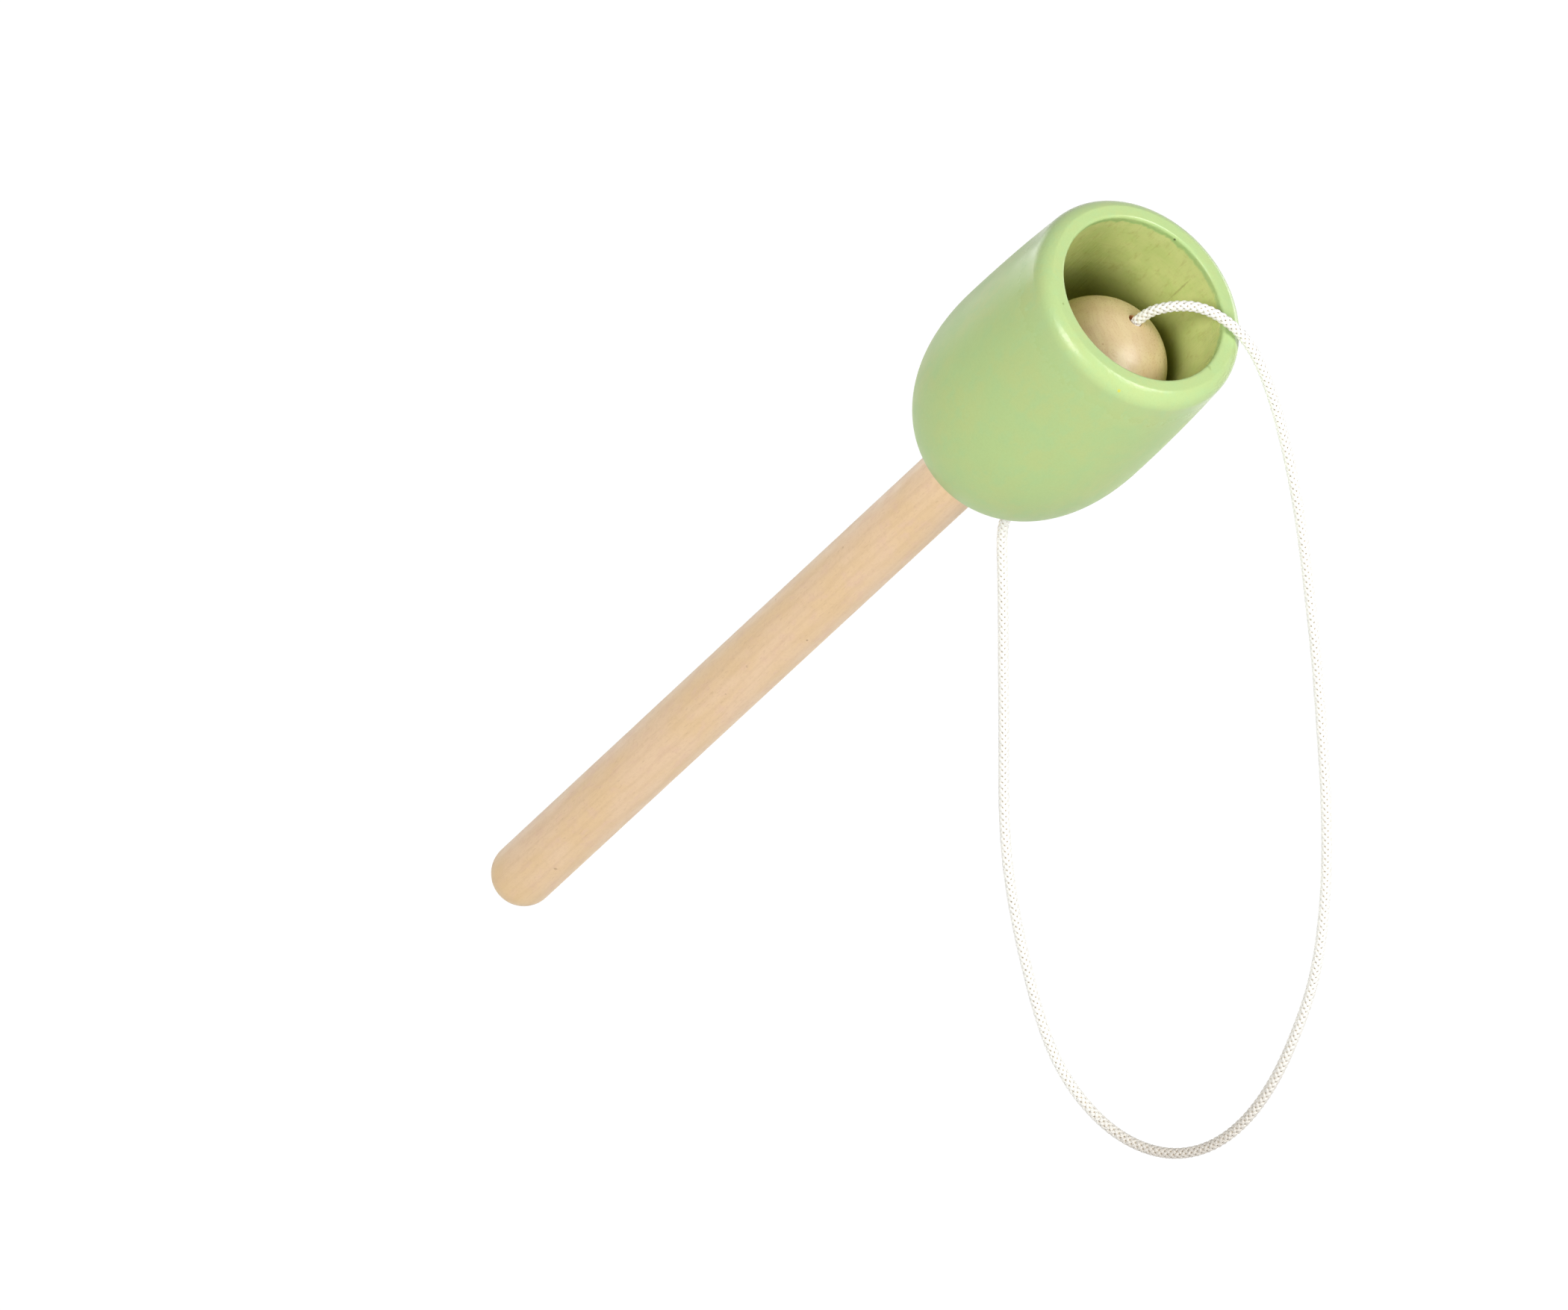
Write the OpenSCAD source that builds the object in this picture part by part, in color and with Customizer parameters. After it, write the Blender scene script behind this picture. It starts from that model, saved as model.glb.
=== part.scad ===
// Ball catch toy: a turned cup on a dowel handle, with a drilled ball tied to it by a braided cord.
// Millimetres. The origin is the middle of the grip, on the handle's centre line. +Z is up. The toy is held as
// it is played, with its centre line in the XZ plane, and the cord hangs in a loop from the dome to the ball.

/* [Handle] */
// Diameter of the dowel
handle_d = 12; // [10:0.5:13]
// Distance from the middle of the grip down to the rounded tip
tip_reach = 30; // [20:1:45]
// Distance from the middle of the grip up to the mouth of the cup
mouth_reach = 200; // [195:1:205]
// Diameter of the turned tenon that is glued into the cup
tenon_d = 11.6; // [8:0.1:11.8]

/* [Cup] */
// Length of the cup from its mouth to the pole of its dome
cup_len = 62; // [60:0.5:66]
// Largest outer diameter
cup_d = 43.4; // [42:0.2:46]
// Distance from the mouth back to the largest diameter
widest_at = 31; // [20:1:35]
// Outer diameter at the lip
lip_d = 41.8; // [41:0.2:42]
// Radius of the gentle round on the outer side of the lip
lip_round = 3.8; // [2:0.2:4.4]
// Radius of the tighter edge between that round and the flat face of the lip
lip_edge = 1; // [0.6:0.2:1.4]
// Radius of the rounded inner edge of the lip
mouth_round = 0.6; // [0.2:0.1:1]
// Diameter of the hollow
mouth_d = 32.4; // [32:0.2:33]
// Depth of the hollow
hollow_depth = 33.2; // [33.2:0.2:35]
// Radius of the corner between the hollow's wall and its floor
floor_round = 4; // [2:0.5:5]
// Bluntness of the dome: 2 is an ellipse, and a larger value is squarer
dome_power = 2.3; // [2:0.05:3]
// Depth of the handle's socket, from the pole of the dome
socket_depth = 23.5; // [15:0.5:24]

/* [Ball] */
// Diameter of the ball
ball_d = 25.4; // [24:0.2:25.6]
// Rise of the ball's drilled hole above level, in degrees
bore_rise = 53; // [50:1:56]
// Turn of the ball's drilled hole away from the toy's own plane, in degrees
bore_turn = 22; // [18:1:26]

/* [Cord] */
// Diameter of the braided cord
cord_d = 2; // [1.6:0.1:2]
// Diameter of the holes that the cord runs through
cord_hole_d = 3; // [2.6:0.1:3.2]
// Diameter of a stopper knot
knot_d = 4.6; // [4:0.1:4.8]
// Diameter of the pocket that a stopper knot sits in
pocket_d = 6.4; // [5.6:0.1:6.6]
// Depth of the knot's pocket in the floor of the cup
cup_pocket = 5.2; // [5:0.1:6]
// Offset of the cord's hole in the cup from the centre line, on the underside
cord_hole_down = 11; // [10:0.5:11.5]
// Offset of the same hole to the side
cord_hole_side = 3; // [2:0.5:4]

/* [Hidden] */

// The handle rises at half a right angle. The cord's route below belongs to this pose.
tilt = 45;
fine = 96;
medium = 48;
handle_r = handle_d / 2;
tenon_r = tenon_d / 2;
cup_r = cup_d / 2;
lip_r = lip_d / 2;
mouth_r = mouth_d / 2;
ball_r = ball_d / 2;
cord_r = cord_d / 2;
knot_r = knot_d / 2;

// The lip's gentle round turns this far off the wall, in degrees, before its tighter edge takes over.
lip_turn = 65;
lip_depth = lip_round * sin(lip_turn) + lip_edge * (1 - sin(lip_turn));
lip_edge_r = lip_r - lip_round * (1 - cos(lip_turn)) - lip_edge * cos(lip_turn);

// Gap that the ball keeps from the wall and the floor of the hollow
ball_gap = 0.3;
// The ball lies against the lowest line of the wall and on the floor.
ball_down = mouth_r - ball_r - ball_gap;
ball_depth = hollow_depth - ball_r - ball_gap;
// The bottom of the ball's knot pocket, measured from the ball's centre
ball_pocket_at = 7.2;
// Gap between the ball's knot and the pocket's floor, so that the ball turns freely
knot_gap = 0.1;
// The handle's full diameter ends this far outside the dome, and a short cone leads down to the tenon.
shoulder_gap = 1.4;
shoulder_len = 0.8;
// The cord's free length starts this far back from the mouth, just clear of the dome.
cord_exit_at = 60.4;
// Straight stretches at the two ends of the free cord
cup_lead = 2;
ball_lead = 2;

// Directions of the toy's centre line and of its underside
axis_dir = [sin(90 - tilt), 0, cos(90 - tilt)];
down_dir = [cos(90 - tilt), 0, -sin(90 - tilt)];
side_dir = [0, 1, 0];
bore_dir = [cos(bore_rise) * cos(bore_turn), cos(bore_rise) * sin(bore_turn), sin(bore_rise)];

mouth_c = mouth_reach * axis_dir;
ball_c = mouth_c - ball_depth * axis_dir + ball_down * down_dir;
ball_hole = ball_c + ball_r * bore_dir;
cup_exit = mouth_c - cord_exit_at * axis_dir + cord_hole_down * down_dir + cord_hole_side * side_dir;

// The free cord's route, from the dome down, round the bottom of the loop, up and over the lip
loop_points = [
    [103, 3.1, 86], [102.8, 3.4, 80], [103.3, 3.3, 70], [103.3, 3.3, 58], [103.7, 3.2, 46], [103.6, 3.1, 34],
    [104.5, 3, 22], [106.1, 3.7, 11], [108.2, 4.8, 0.6], [111.1, 5.6, -9.5], [115.3, 6.7, -18.2],
    [121.3, 8.9, -25.1], [127.9, 11.3, -29.1], [135.4, 14, -30], [142.3, 17, -27.4], [148.5, 19.5, -21.4],
    [153.6, 21.7, -12.7], [157.5, 23.2, -2.5], [160.8, 24.7, 8.7], [162.6, 25, 20.9], [162.9, 25.4, 33],
    [162.7, 25.2, 45], [161.6, 25.1, 57], [160.7, 24.7, 70], [159.2, 24.3, 82], [158.3, 23.3, 94.1],
    [156.8, 22.3, 105.1], [155.2, 20.8, 115.1], [154.2, 18.7, 123.1], [152.6, 16.7, 129.6],
    [151, 14.1, 134.1], [148, 11.8, 136.9], [145.4, 9.2, 138.5], [142.5, 6.5, 138.5], [139.6, 4.4, 137.5]
];
cord_points = concat(
    [cup_exit, cup_exit - cup_lead * axis_dir],
    loop_points,
    [ball_hole + ball_lead * bore_dir, ball_hole]
);
rings_per_span = 2;
cord_sides = 8;

// Stands its children on the toy's centre line, with their +Z towards the mouth and their +X to the underside
module along_toy(reach = 0) {
    rotate([0, 90 - tilt, 0]) translate([0, 0, reach]) children();
}

// Stands its children on the ball's drilled hole, with their +Z out of the hole and their origin at the centre
module along_bore() {
    translate(ball_c) rotate([0, 90 - bore_rise, bore_turn]) children();
}

// Points of an arc about c, from angle a to angle b in n steps
function arc(c, r, a, b, n) = [for (i = [0:n]) c + r * [cos(a + (b - a) * i / n), sin(a + (b - a) * i / n)]];

// The dome's outline: a superellipse from the pole to the widest place
function dome(n) = [
    for (i = [0:n])
        let (a = 90 * (1 - i / n))
        [cup_r * pow(cos(a), 2 / dome_power), -widest_at - (cup_len - widest_at) * pow(sin(a), 2 / dome_power)]
];

// The wall's outline: it draws in gently from the widest place to the lip
function wall(n) = [
    for (i = [1:n])
        let (k = i / n)
        [cup_r - (cup_r - lip_r) * k * k, -widest_at + (widest_at - lip_depth) * k]
];

// Half section of the cup, as radius and height above the mouth's plane
cup_section = concat(
    dome(12),
    wall(3),
    arc([lip_r - lip_round, -lip_depth], lip_round, 13, lip_turn, 4),
    arc([lip_edge_r, -lip_edge], lip_edge, 77.5, 90, 1),
    arc([mouth_r + mouth_round, -mouth_round], mouth_round, 90, 180, 2),
    arc([mouth_r - floor_round, floor_round - hollow_depth], floor_round, 0, -90, 3),
    [[0, -hollow_depth]]
);

module cup() {
    color([0.73, 0.81, 0.57]) along_toy(mouth_reach) difference() {
        rotate_extrude($fn = fine) polygon(cup_section);
        // Socket for the handle's tenon
        translate([0, 0, -cup_len - 1]) cylinder(r = tenon_r, h = socket_depth + 1, $fn = fine);
        // Hole for the cord, beside the socket, and the pocket for its knot
        translate([cord_hole_down, cord_hole_side, 0]) {
            translate([0, 0, -cup_len - 1]) cylinder(d = cord_hole_d, h = cup_len - hollow_depth + 2, $fn = medium);
            translate([0, 0, -hollow_depth - cup_pocket])
                cylinder(d = pocket_d, h = cup_pocket + 1, $fn = medium);
        }
    }
}

module handle() {
    tip_c = handle_r - tip_reach;
    shoulder = mouth_reach - cup_len - shoulder_gap;
    socket_floor = mouth_reach - cup_len + socket_depth;
    color([0.88, 0.75, 0.59]) along_toy() union() {
        translate([0, 0, tip_c]) sphere(r = handle_r, $fn = fine);
        translate([0, 0, tip_c]) cylinder(r = handle_r, h = shoulder - tip_c, $fn = fine);
        translate([0, 0, shoulder]) cylinder(r1 = handle_r, r2 = tenon_r, h = shoulder_len, $fn = fine);
        translate([0, 0, shoulder + shoulder_len])
            cylinder(r = tenon_r, h = socket_floor - shoulder - shoulder_len, $fn = fine);
    }
}

module ball() {
    color([0.92, 0.86, 0.71]) along_bore() difference() {
        sphere(r = ball_r, $fn = fine);
        translate([0, 0, -ball_r - 1]) cylinder(d = cord_hole_d, h = ball_d + 2, $fn = medium);
        translate([0, 0, -ball_r - 1]) cylinder(d = pocket_d, h = ball_r + 1 - ball_pocket_at, $fn = medium);
    }
}

// The knotted end of the cord: a stopper knot, and the cord that runs from it to z = reach
module knotted_end(reach) {
    union() {
        sphere(r = knot_r, $fn = medium);
        cylinder(r = cord_r, h = reach, $fn = medium);
    }
}

module cup_knot() {
    knot_at = -hollow_depth - cup_pocket + knot_r;
    color([0.95, 0.94, 0.91]) along_toy(mouth_reach)
        translate([cord_hole_down, cord_hole_side, knot_at])
            mirror([0, 0, 1]) knotted_end(knot_at + cord_exit_at);
}

module ball_knot() {
    knot_at = -ball_pocket_at - knot_r - knot_gap;
    color([0.95, 0.94, 0.91]) along_bore() translate([0, 0, knot_at]) knotted_end(ball_r - knot_at);
}

// A smooth curve near its control points, which runs through the first and the last one
function basis(t) = [
    pow(1 - t, 3) / 6,
    (3 * pow(t, 3) - 6 * pow(t, 2) + 4) / 6,
    (-3 * pow(t, 3) + 3 * pow(t, 2) + 3 * t + 1) / 6,
    pow(t, 3) / 6
];
function padded(p) = concat([2 * p[0] - p[1]], p, [2 * p[len(p) - 1] - p[len(p) - 2]]);
function curve(p, per) =
    let (q = padded(p))
    concat(
        [
            for (i = [0:len(p) - 2], k = [0:per - 1])
                let (b = basis(k / per))
                b[0] * q[i] + b[1] * q[i + 1] + b[2] * q[i + 2] + b[3] * q[i + 3]
        ],
        [p[len(p) - 1]]
    );

function unit(v) = v / norm(v);
function tangent(c, i) = unit(c[min(i + 1, len(c) - 1)] - c[max(i - 1, 0)]);
// Turns the last ring's reference direction square to the next tangent, so that the tube doesn't twist
function square_to(v, t) = unit(v - (v * t) * t);

module tube(c, r, sides) {
    tangents = concat(
        [unit(cord_points[1] - cord_points[0])],
        [for (i = [1:len(c) - 2]) tangent(c, i)],
        [unit(cord_points[len(cord_points) - 1] - cord_points[len(cord_points) - 2])]
    );
    normals = [
        for (i = 0, n = square_to(side_dir, tangents[0]); i < len(c);
             i = i + 1, n = i < len(c) ? square_to(n, tangents[i]) : n)
            n
    ];
    points = [
        for (i = [0:len(c) - 1], j = [0:sides - 1])
            let (a = 360 * j / sides)
            c[i] + r * (cos(a) * normals[i] + sin(a) * cross(tangents[i], normals[i]))
    ];
    last = (len(c) - 1) * sides;
    faces = concat(
        [for (j = [1:sides - 2]) [0, j, j + 1]],
        [for (j = [1:sides - 2]) [last, last + j + 1, last + j]],
        [
            for (i = [0:len(c) - 2], j = [0:sides - 1], half = [0, 1])
                let (a = i * sides + j, b = i * sides + (j + 1) % sides)
                half == 0 ? [a, a + sides, b] : [b, a + sides, b + sides]
        ]
    );
    polyhedron(points, faces);
}

module cord() {
    color([0.95, 0.94, 0.91]) tube(curve(cord_points, rings_per_span), cord_r, cord_sides);
}

cup();
handle();
ball();
cord();
cup_knot();
ball_knot();
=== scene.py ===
"""Looks of a ball catch toy: a lacquered cup on a dowel handle, and a drilled ball tied to it by a cord.

Every piece is turned or laid on a maker's bench in millimetres and then placed in the toy's frame in metres.
The cup's bench has its origin in the middle of the mouth and its third direction out of the cup. The ball's
bench has its origin in the ball's centre and its third direction out of the drilled hole.
"""

import logging
import math
from dataclasses import dataclass
from enum import Enum
from typing import Optional, Sequence, Union

import bpy
import numpy as np
from mathutils import Matrix, Vector


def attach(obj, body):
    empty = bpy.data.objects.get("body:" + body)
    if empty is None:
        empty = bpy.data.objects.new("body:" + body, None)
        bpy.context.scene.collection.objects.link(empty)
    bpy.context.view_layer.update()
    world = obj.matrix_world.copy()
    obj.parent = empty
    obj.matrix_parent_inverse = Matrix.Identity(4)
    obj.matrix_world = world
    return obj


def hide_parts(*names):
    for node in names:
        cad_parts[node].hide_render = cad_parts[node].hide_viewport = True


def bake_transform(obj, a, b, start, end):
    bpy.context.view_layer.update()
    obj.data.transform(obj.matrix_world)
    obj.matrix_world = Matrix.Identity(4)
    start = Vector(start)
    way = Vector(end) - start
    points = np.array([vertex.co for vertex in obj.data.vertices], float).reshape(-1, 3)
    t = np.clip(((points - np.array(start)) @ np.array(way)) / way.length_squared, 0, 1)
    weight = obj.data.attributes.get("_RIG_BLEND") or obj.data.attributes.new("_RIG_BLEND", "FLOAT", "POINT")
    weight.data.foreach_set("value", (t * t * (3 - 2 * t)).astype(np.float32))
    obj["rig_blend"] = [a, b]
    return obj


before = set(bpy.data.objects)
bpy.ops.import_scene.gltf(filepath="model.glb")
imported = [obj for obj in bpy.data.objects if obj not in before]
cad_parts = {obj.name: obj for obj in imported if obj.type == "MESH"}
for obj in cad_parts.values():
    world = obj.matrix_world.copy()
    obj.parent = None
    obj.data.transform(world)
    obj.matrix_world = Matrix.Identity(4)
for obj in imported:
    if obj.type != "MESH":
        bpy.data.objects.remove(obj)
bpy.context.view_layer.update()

log = logging.getLogger("ball_catch_toy")

MM = 0.001
CREASE = 35.0
SIDEWAYS = np.array([0.0, 1.0, 0.0])
UP = np.array([0.0, 0.0, 1.0])
WHITE = (1.0, 1.0, 1.0, 1.0)
Place = tuple[float, float, float]
Colour = tuple[float, float, float, float]
Outline = list[tuple[float, float]]
Piece = bpy.types.Object
Material = bpy.types.Material
Socket = bpy.types.NodeSocket
Feed = Union[float, Sequence[float], Socket]


def srgb(red: float, green: float, blue: float) -> Colour:
    """Turns a colour from 0 to 255 per channel into the linear colour of a shader socket.

    Args:
        red: Red, from 0 to 255.
        green: Green, from 0 to 255.
        blue: Blue, from 0 to 255.

    Returns:
        Red, green and blue as linear values, and an alpha of 1.
    """
    shares = [channel / 255 for channel in (red, green, blue)]
    linear = [s / 12.92 if s <= 0.04045 else ((s + 0.055) / 1.055) ** 2.4 for s in shares]
    return (linear[0], linear[1], linear[2], 1.0)


def eased(value: np.ndarray) -> np.ndarray:
    """A smooth rise from 0 to 1 as value goes from 0 to 1."""
    share = np.clip(value, 0, 1)
    return share * share * (3 - 2 * share)


def unit(vectors: np.ndarray) -> np.ndarray:
    """Each row of an array, scaled to a length of 1."""
    return vectors / np.linalg.norm(vectors, axis=-1, keepdims=True)


@dataclass(frozen=True)
class Bench:
    """A place to make a piece in millimetres.

    Its origin is in metres in the toy's frame. Its third direction rises and turns by these angles in
    degrees, its second one is level, and its first one slopes down.
    """

    origin: Place
    rise: float
    turn: float = 0.0

    def axes(self) -> np.ndarray:
        """Works out the directions.

        Returns:
            The bench's three directions in the toy's frame, as rows.
        """
        rise = math.radians(self.rise)
        turn_by = math.radians(self.turn)
        level = np.array([math.cos(turn_by), math.sin(turn_by), 0.0])
        across = math.sin(rise) * level - math.cos(rise) * UP
        along = math.cos(rise) * level + math.sin(rise) * UP
        return np.array([across, np.cross(along, across), along])

    def place(self, points: Sequence) -> np.ndarray:
        """Points in millimetres on the bench, as metres in the toy's frame."""
        return np.array(self.origin) + MM * (np.array(points) @ self.axes())

    def back(self, points: np.ndarray) -> np.ndarray:
        """Points in metres in the toy's frame, as millimetres on the bench."""
        return (points - np.array(self.origin)) @ self.axes().T / MM

    def bench_at(self, place: Place, rise: float, turn: float = 0.0) -> "Bench":
        """Another bench, with its origin at a place on this one."""
        return Bench(tuple(self.place(place)), rise, turn)


# The toy's frame has its origin in the handle, this far below the mouth
MOUTH_REACH = 200.0
TILT = 45.0
BALL_DOWN = 3.2
BALL_DEPTH = 20.2
BORE_RISE = 53.0
BORE_TURN = 22.0
CUP_BENCH = Bench((0.0, 0.0, 0.0), TILT).bench_at((0.0, 0.0, MOUTH_REACH), TILT)
BALL_BENCH = CUP_BENCH.bench_at((BALL_DOWN, 0.0, -BALL_DEPTH), BORE_RISE, BORE_TURN)


def arc(centre: tuple[float, float], radius: float, start: float, end: float, steps: int) -> Outline:
    """Points of an arc in a section.

    Args:
        centre: The arc's centre, as radius and height.
        radius: The arc's own radius.
        start: The first angle in degrees, from the outward direction towards up.
        end: The last angle in degrees.
        steps: How many spans the arc is cut into.

    Returns:
        The arc's points, both ends among them.
    """
    angles = [math.radians(start + (end - start) * step / steps) for step in range(steps + 1)]
    return [(centre[0] + radius * math.cos(a), centre[1] + radius * math.sin(a)) for a in angles]


def make_piece(name: str, points: np.ndarray, faces: Sequence, crease: float = CREASE) -> Piece:
    """Makes a smooth-shaded mesh piece.

    Args:
        name: The piece's name.
        points: Its points in metres in the toy's frame.
        faces: Its faces, as lists of point numbers.
        crease: The angle in degrees above which an edge stays sharp.

    Returns:
        The new object, linked to the scene.
    """
    mesh = bpy.data.meshes.new(name)
    mesh.from_pydata(points.tolist(), [], [list(face) for face in faces])
    mesh.update()
    finish_shading(mesh, crease)
    piece = bpy.data.objects.new(name, mesh)
    bpy.context.scene.collection.objects.link(piece)
    return piece


def finish_shading(mesh: bpy.types.Mesh, crease: float = CREASE) -> None:
    """Shades a mesh smooth, apart from edges sharper than crease degrees."""
    mesh.shade_smooth()
    mesh.set_sharp_from_angle(angle=math.radians(crease))


def turn(outline: Outline, sides: int, closed: bool = False) -> tuple[np.ndarray, list[list[int]]]:
    """Turns an outline once round the bench's third direction.

    Args:
        outline: Radius and height of each point, with the wood on the left of the way it runs. A radius of 0
            is a pole.
        sides: How many sides the turned form has.
        closed: Whether the last point joins the first one.

    Returns:
        The points in millimetres on the bench, and the faces.
    """
    angles = np.linspace(0, 2 * math.pi, sides, endpoint=False)
    points: list[Place] = []
    rings: list[list[int]] = []
    for radius, height in outline:
        first = len(points)
        if radius == 0:
            points.append((0.0, 0.0, height))
            rings.append([first] * sides)
        else:
            points.extend((radius * math.cos(a), radius * math.sin(a), height) for a in angles)
            rings.append(list(range(first, first + sides)))
    if closed:
        rings.append(rings[0])
    faces = []
    for low, high in zip(rings, rings[1:]):
        for side in range(sides):
            after = (side + 1) % sides
            corners = [low[side], low[after], high[after], high[side]]
            faces.append(list(dict.fromkeys(corners)))
    return np.array(points), faces


def carve(piece: Piece, cutter: Piece) -> None:
    """Cuts a form out of a piece.

    Args:
        piece: The piece, whose mesh is replaced by the carved one.
        cutter: The form to cut out, which is then thrown away.
    """
    cut = piece.modifiers.new("carve", "BOOLEAN")
    cut.operation = "DIFFERENCE"
    cut.solver = "EXACT"
    cut.object = cutter
    bpy.context.view_layer.update()
    carved = bpy.data.meshes.new_from_object(piece.evaluated_get(bpy.context.evaluated_depsgraph_get()))
    piece.modifiers.clear()
    piece.data = carved
    bpy.data.objects.remove(cutter)


def note_bench(piece: Piece, bench: Bench) -> None:
    """Writes each point's place on its bench into the mesh, for the finishes to read.

    Args:
        piece: A mesh whose points are in metres in the toy's frame.
        bench: The bench that it was made on.
    """
    mesh = piece.data
    points = np.empty(len(mesh.vertices) * 3)
    mesh.vertices.foreach_get("co", points)
    places = bench.back(points.reshape(-1, 3))
    mesh.attributes.new("bench", "FLOAT_VECTOR", "POINT").data.foreach_set("vector", places.ravel())


def dress(piece: Piece, material: Material) -> None:
    """Gives a piece its finish.

    Args:
        piece: The piece.
        material: Its material.
    """
    piece.data.materials.clear()
    piece.data.materials.append(material)


class Mixing(Enum):
    """How one colour goes over another."""

    COVER = "MIX"
    STAIN = "MULTIPLY"


@dataclass(frozen=True)
class Pattern:
    """Soft noise: its cells to a millimetre, its detail and roughness, and how it is drawn out.

    Where across or along is below 1, the noise is drawn out in that direction of the turning.
    """

    scale: float
    detail: float = 3.0
    rough: float = 0.6
    across: float = 1.0
    along: float = 1.0


@dataclass(frozen=True)
class Ramp:
    """A smooth change from low to high, while a value goes from start to end."""

    start: float
    end: float
    low: float = 0.0
    high: float = 1.0


@dataclass(frozen=True)
class Tint:
    """A colour over another one: its share goes from low to high, while a value goes from start to end."""

    colour: Colour
    start: float
    end: float
    high: float = 1.0
    low: float = 0.0


class MarkKind(Enum):
    """What a small mark on the surface is. The value is the mark's colour."""

    PIT = srgb(70, 84, 44)
    YELLOW_SPECK = srgb(212, 206, 70)
    GREEN_SPECK = srgb(134, 158, 84)
    BROWN_SPECK = srgb(168, 124, 84)
    CRACK = srgb(122, 104, 50)


@dataclass(frozen=True)
class Mark:
    """A small mark: its place on the bench, its radius, how strongly it shows, its kind and its stretch."""

    place: Place
    radius: float
    strength: float
    kind: MarkKind = MarkKind.BROWN_SPECK
    stretch: Place = (1.0, 1.0, 1.0)


class FinishNodes:
    """A node tree, with a short call for each kind of node that the toy's finishes and its studio use."""

    # A Mix node has sockets for numbers and vectors before those for colours
    mix_under: int = 6
    mix_over: int = 7
    mix_result: int = 2

    def __init__(self, owner: Union[Material, bpy.types.World]) -> None:
        """Starts an empty node tree.

        Args:
            owner: The material or the world that the tree belongs to.
        """
        owner.use_nodes = True
        self.owner = owner
        self.tree = owner.node_tree
        self.tree.nodes.clear()

    def feed(self, socket: Socket, value: Feed) -> None:
        """Feeds a socket.

        Args:
            socket: The socket.
            value: Another socket to link to it, or a number, vector or colour to set there.
        """
        if isinstance(value, Socket):
            self.tree.links.new(value, socket)
        else:
            socket.default_value = value

    def node(self, kind: str, *values: Feed, **settings: object) -> bpy.types.Node:
        """Makes a shader node.

        Args:
            kind: The kind of node, by the name of its type.
            values: What its first sockets are fed with, in their order.
            settings: Its settings by name.

        Returns:
            The node.
        """
        made = self.tree.nodes.new("ShaderNode" + kind)
        for setting, value in settings.items():
            setattr(made, setting, value)
        for socket, value in zip(made.inputs, values):
            self.feed(socket, value)
        return made

    def fill(self, kind: str, **values: Feed) -> Socket:
        """Makes a shader node and feeds its sockets by name.

        Args:
            kind: The kind of node.
            values: The sockets to feed, with an underscore for each space in a socket's name.

        Returns:
            The node's first output.
        """
        made = self.node(kind)
        for name, value in values.items():
            self.feed(made.inputs[name.replace("_", " ")], value)
        return made.outputs[0]

    def note(self, name: str, output: str = "Vector") -> Socket:
        """What the mesh notes at each point under that name."""
        return self.node("Attribute", attribute_name=name).outputs[output]

    def parts(self, vector: Feed) -> tuple[Socket, ...]:
        """The three numbers of a vector."""
        return tuple(self.node("SeparateXYZ", vector).outputs)

    def join(self, first: Feed, second: Feed = 0.0, third: Feed = 0.0) -> Socket:
        """A vector from three numbers."""
        return self.node("CombineXYZ", first, second, third).outputs[0]

    def stretch(self, vector: Feed, by: Sequence[float]) -> Socket:
        """A vector with its three numbers multiplied by those of by."""
        return self.node("VectorMath", vector, by, operation="MULTIPLY").outputs[0]

    def distance(self, vector: Feed, place: Place) -> Socket:
        """How far a vector is from a place."""
        return self.node("VectorMath", vector, place, operation="DISTANCE").outputs["Value"]

    def reach(self, vector: Feed, direction: Place) -> Socket:
        """How far a vector reaches along a direction."""
        return self.node("VectorMath", vector, direction, operation="DOT_PRODUCT").outputs["Value"]

    def work_out(self, operation: str, *values: Feed) -> Socket:
        """The result of a Math node."""
        return self.node("Math", *values, operation=operation).outputs[0]

    def add(self, base: Feed, other: Feed, share: Feed = 1.0) -> Socket:
        """The base, with the other value added to it by that share."""
        return self.work_out("MULTIPLY_ADD", other, share, base)

    def times(self, first: Feed, *others: Feed) -> Socket:
        """The product of two or more values, so where each is 0 or 1, whether all of them are 1."""
        for other in others:
            first = self.work_out("MULTIPLY", first, other)
        return first

    def most(self, first: Feed, *others: Feed) -> Socket:
        """The largest of two or more values."""
        for other in others:
            first = self.work_out("MAXIMUM", first, other)
        return first

    def below(self, value: Feed, limit: float) -> Socket:
        """1 where a value is below a limit, and 0 elsewhere."""
        return self.work_out("LESS_THAN", value, limit)

    def above(self, value: Feed, limit: float) -> Socket:
        """1 where a value is above a limit, and 0 elsewhere."""
        return self.work_out("GREATER_THAN", value, limit)

    def waves(self, value: Feed, rate: float) -> Socket:
        """Waves between -1 and 1, which turn by rate radians for each 1 of a value."""
        return self.work_out("SINE", self.times(value, rate))

    def noise(self, vector: Feed, pattern: Pattern) -> Socket:
        """The noise of a pattern, about 0.5."""
        settings = {"Scale": pattern.scale, "Detail": pattern.detail, "Roughness": pattern.rough}
        return self.fill("TexNoise", Vector=vector, **settings)

    def rise(self, value: Feed, ramp: Ramp) -> Socket:
        """A ramp's smooth change with a value."""
        ends = (ramp.start, ramp.end, ramp.low, ramp.high)
        return self.node("MapRange", value, *ends, interpolation_type="SMOOTHSTEP", clamp=True).outputs[0]

    def mix(self, share: Feed, first: Feed, second: Feed, mixing: Mixing = Mixing.COVER) -> Socket:
        """Puts a colour over another one.

        Args:
            share: How strongly the second colour shows, from 0 to 1.
            first: The colour underneath.
            second: The colour on top.
            mixing: How it goes over the other one.

        Returns:
            The mixed colour.
        """
        made = self.node("Mix", share, data_type="RGBA", blend_type=mixing.value)
        self.feed(made.inputs[self.mix_under], first)
        self.feed(made.inputs[self.mix_over], second)
        return made.outputs[self.mix_result]

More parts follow.
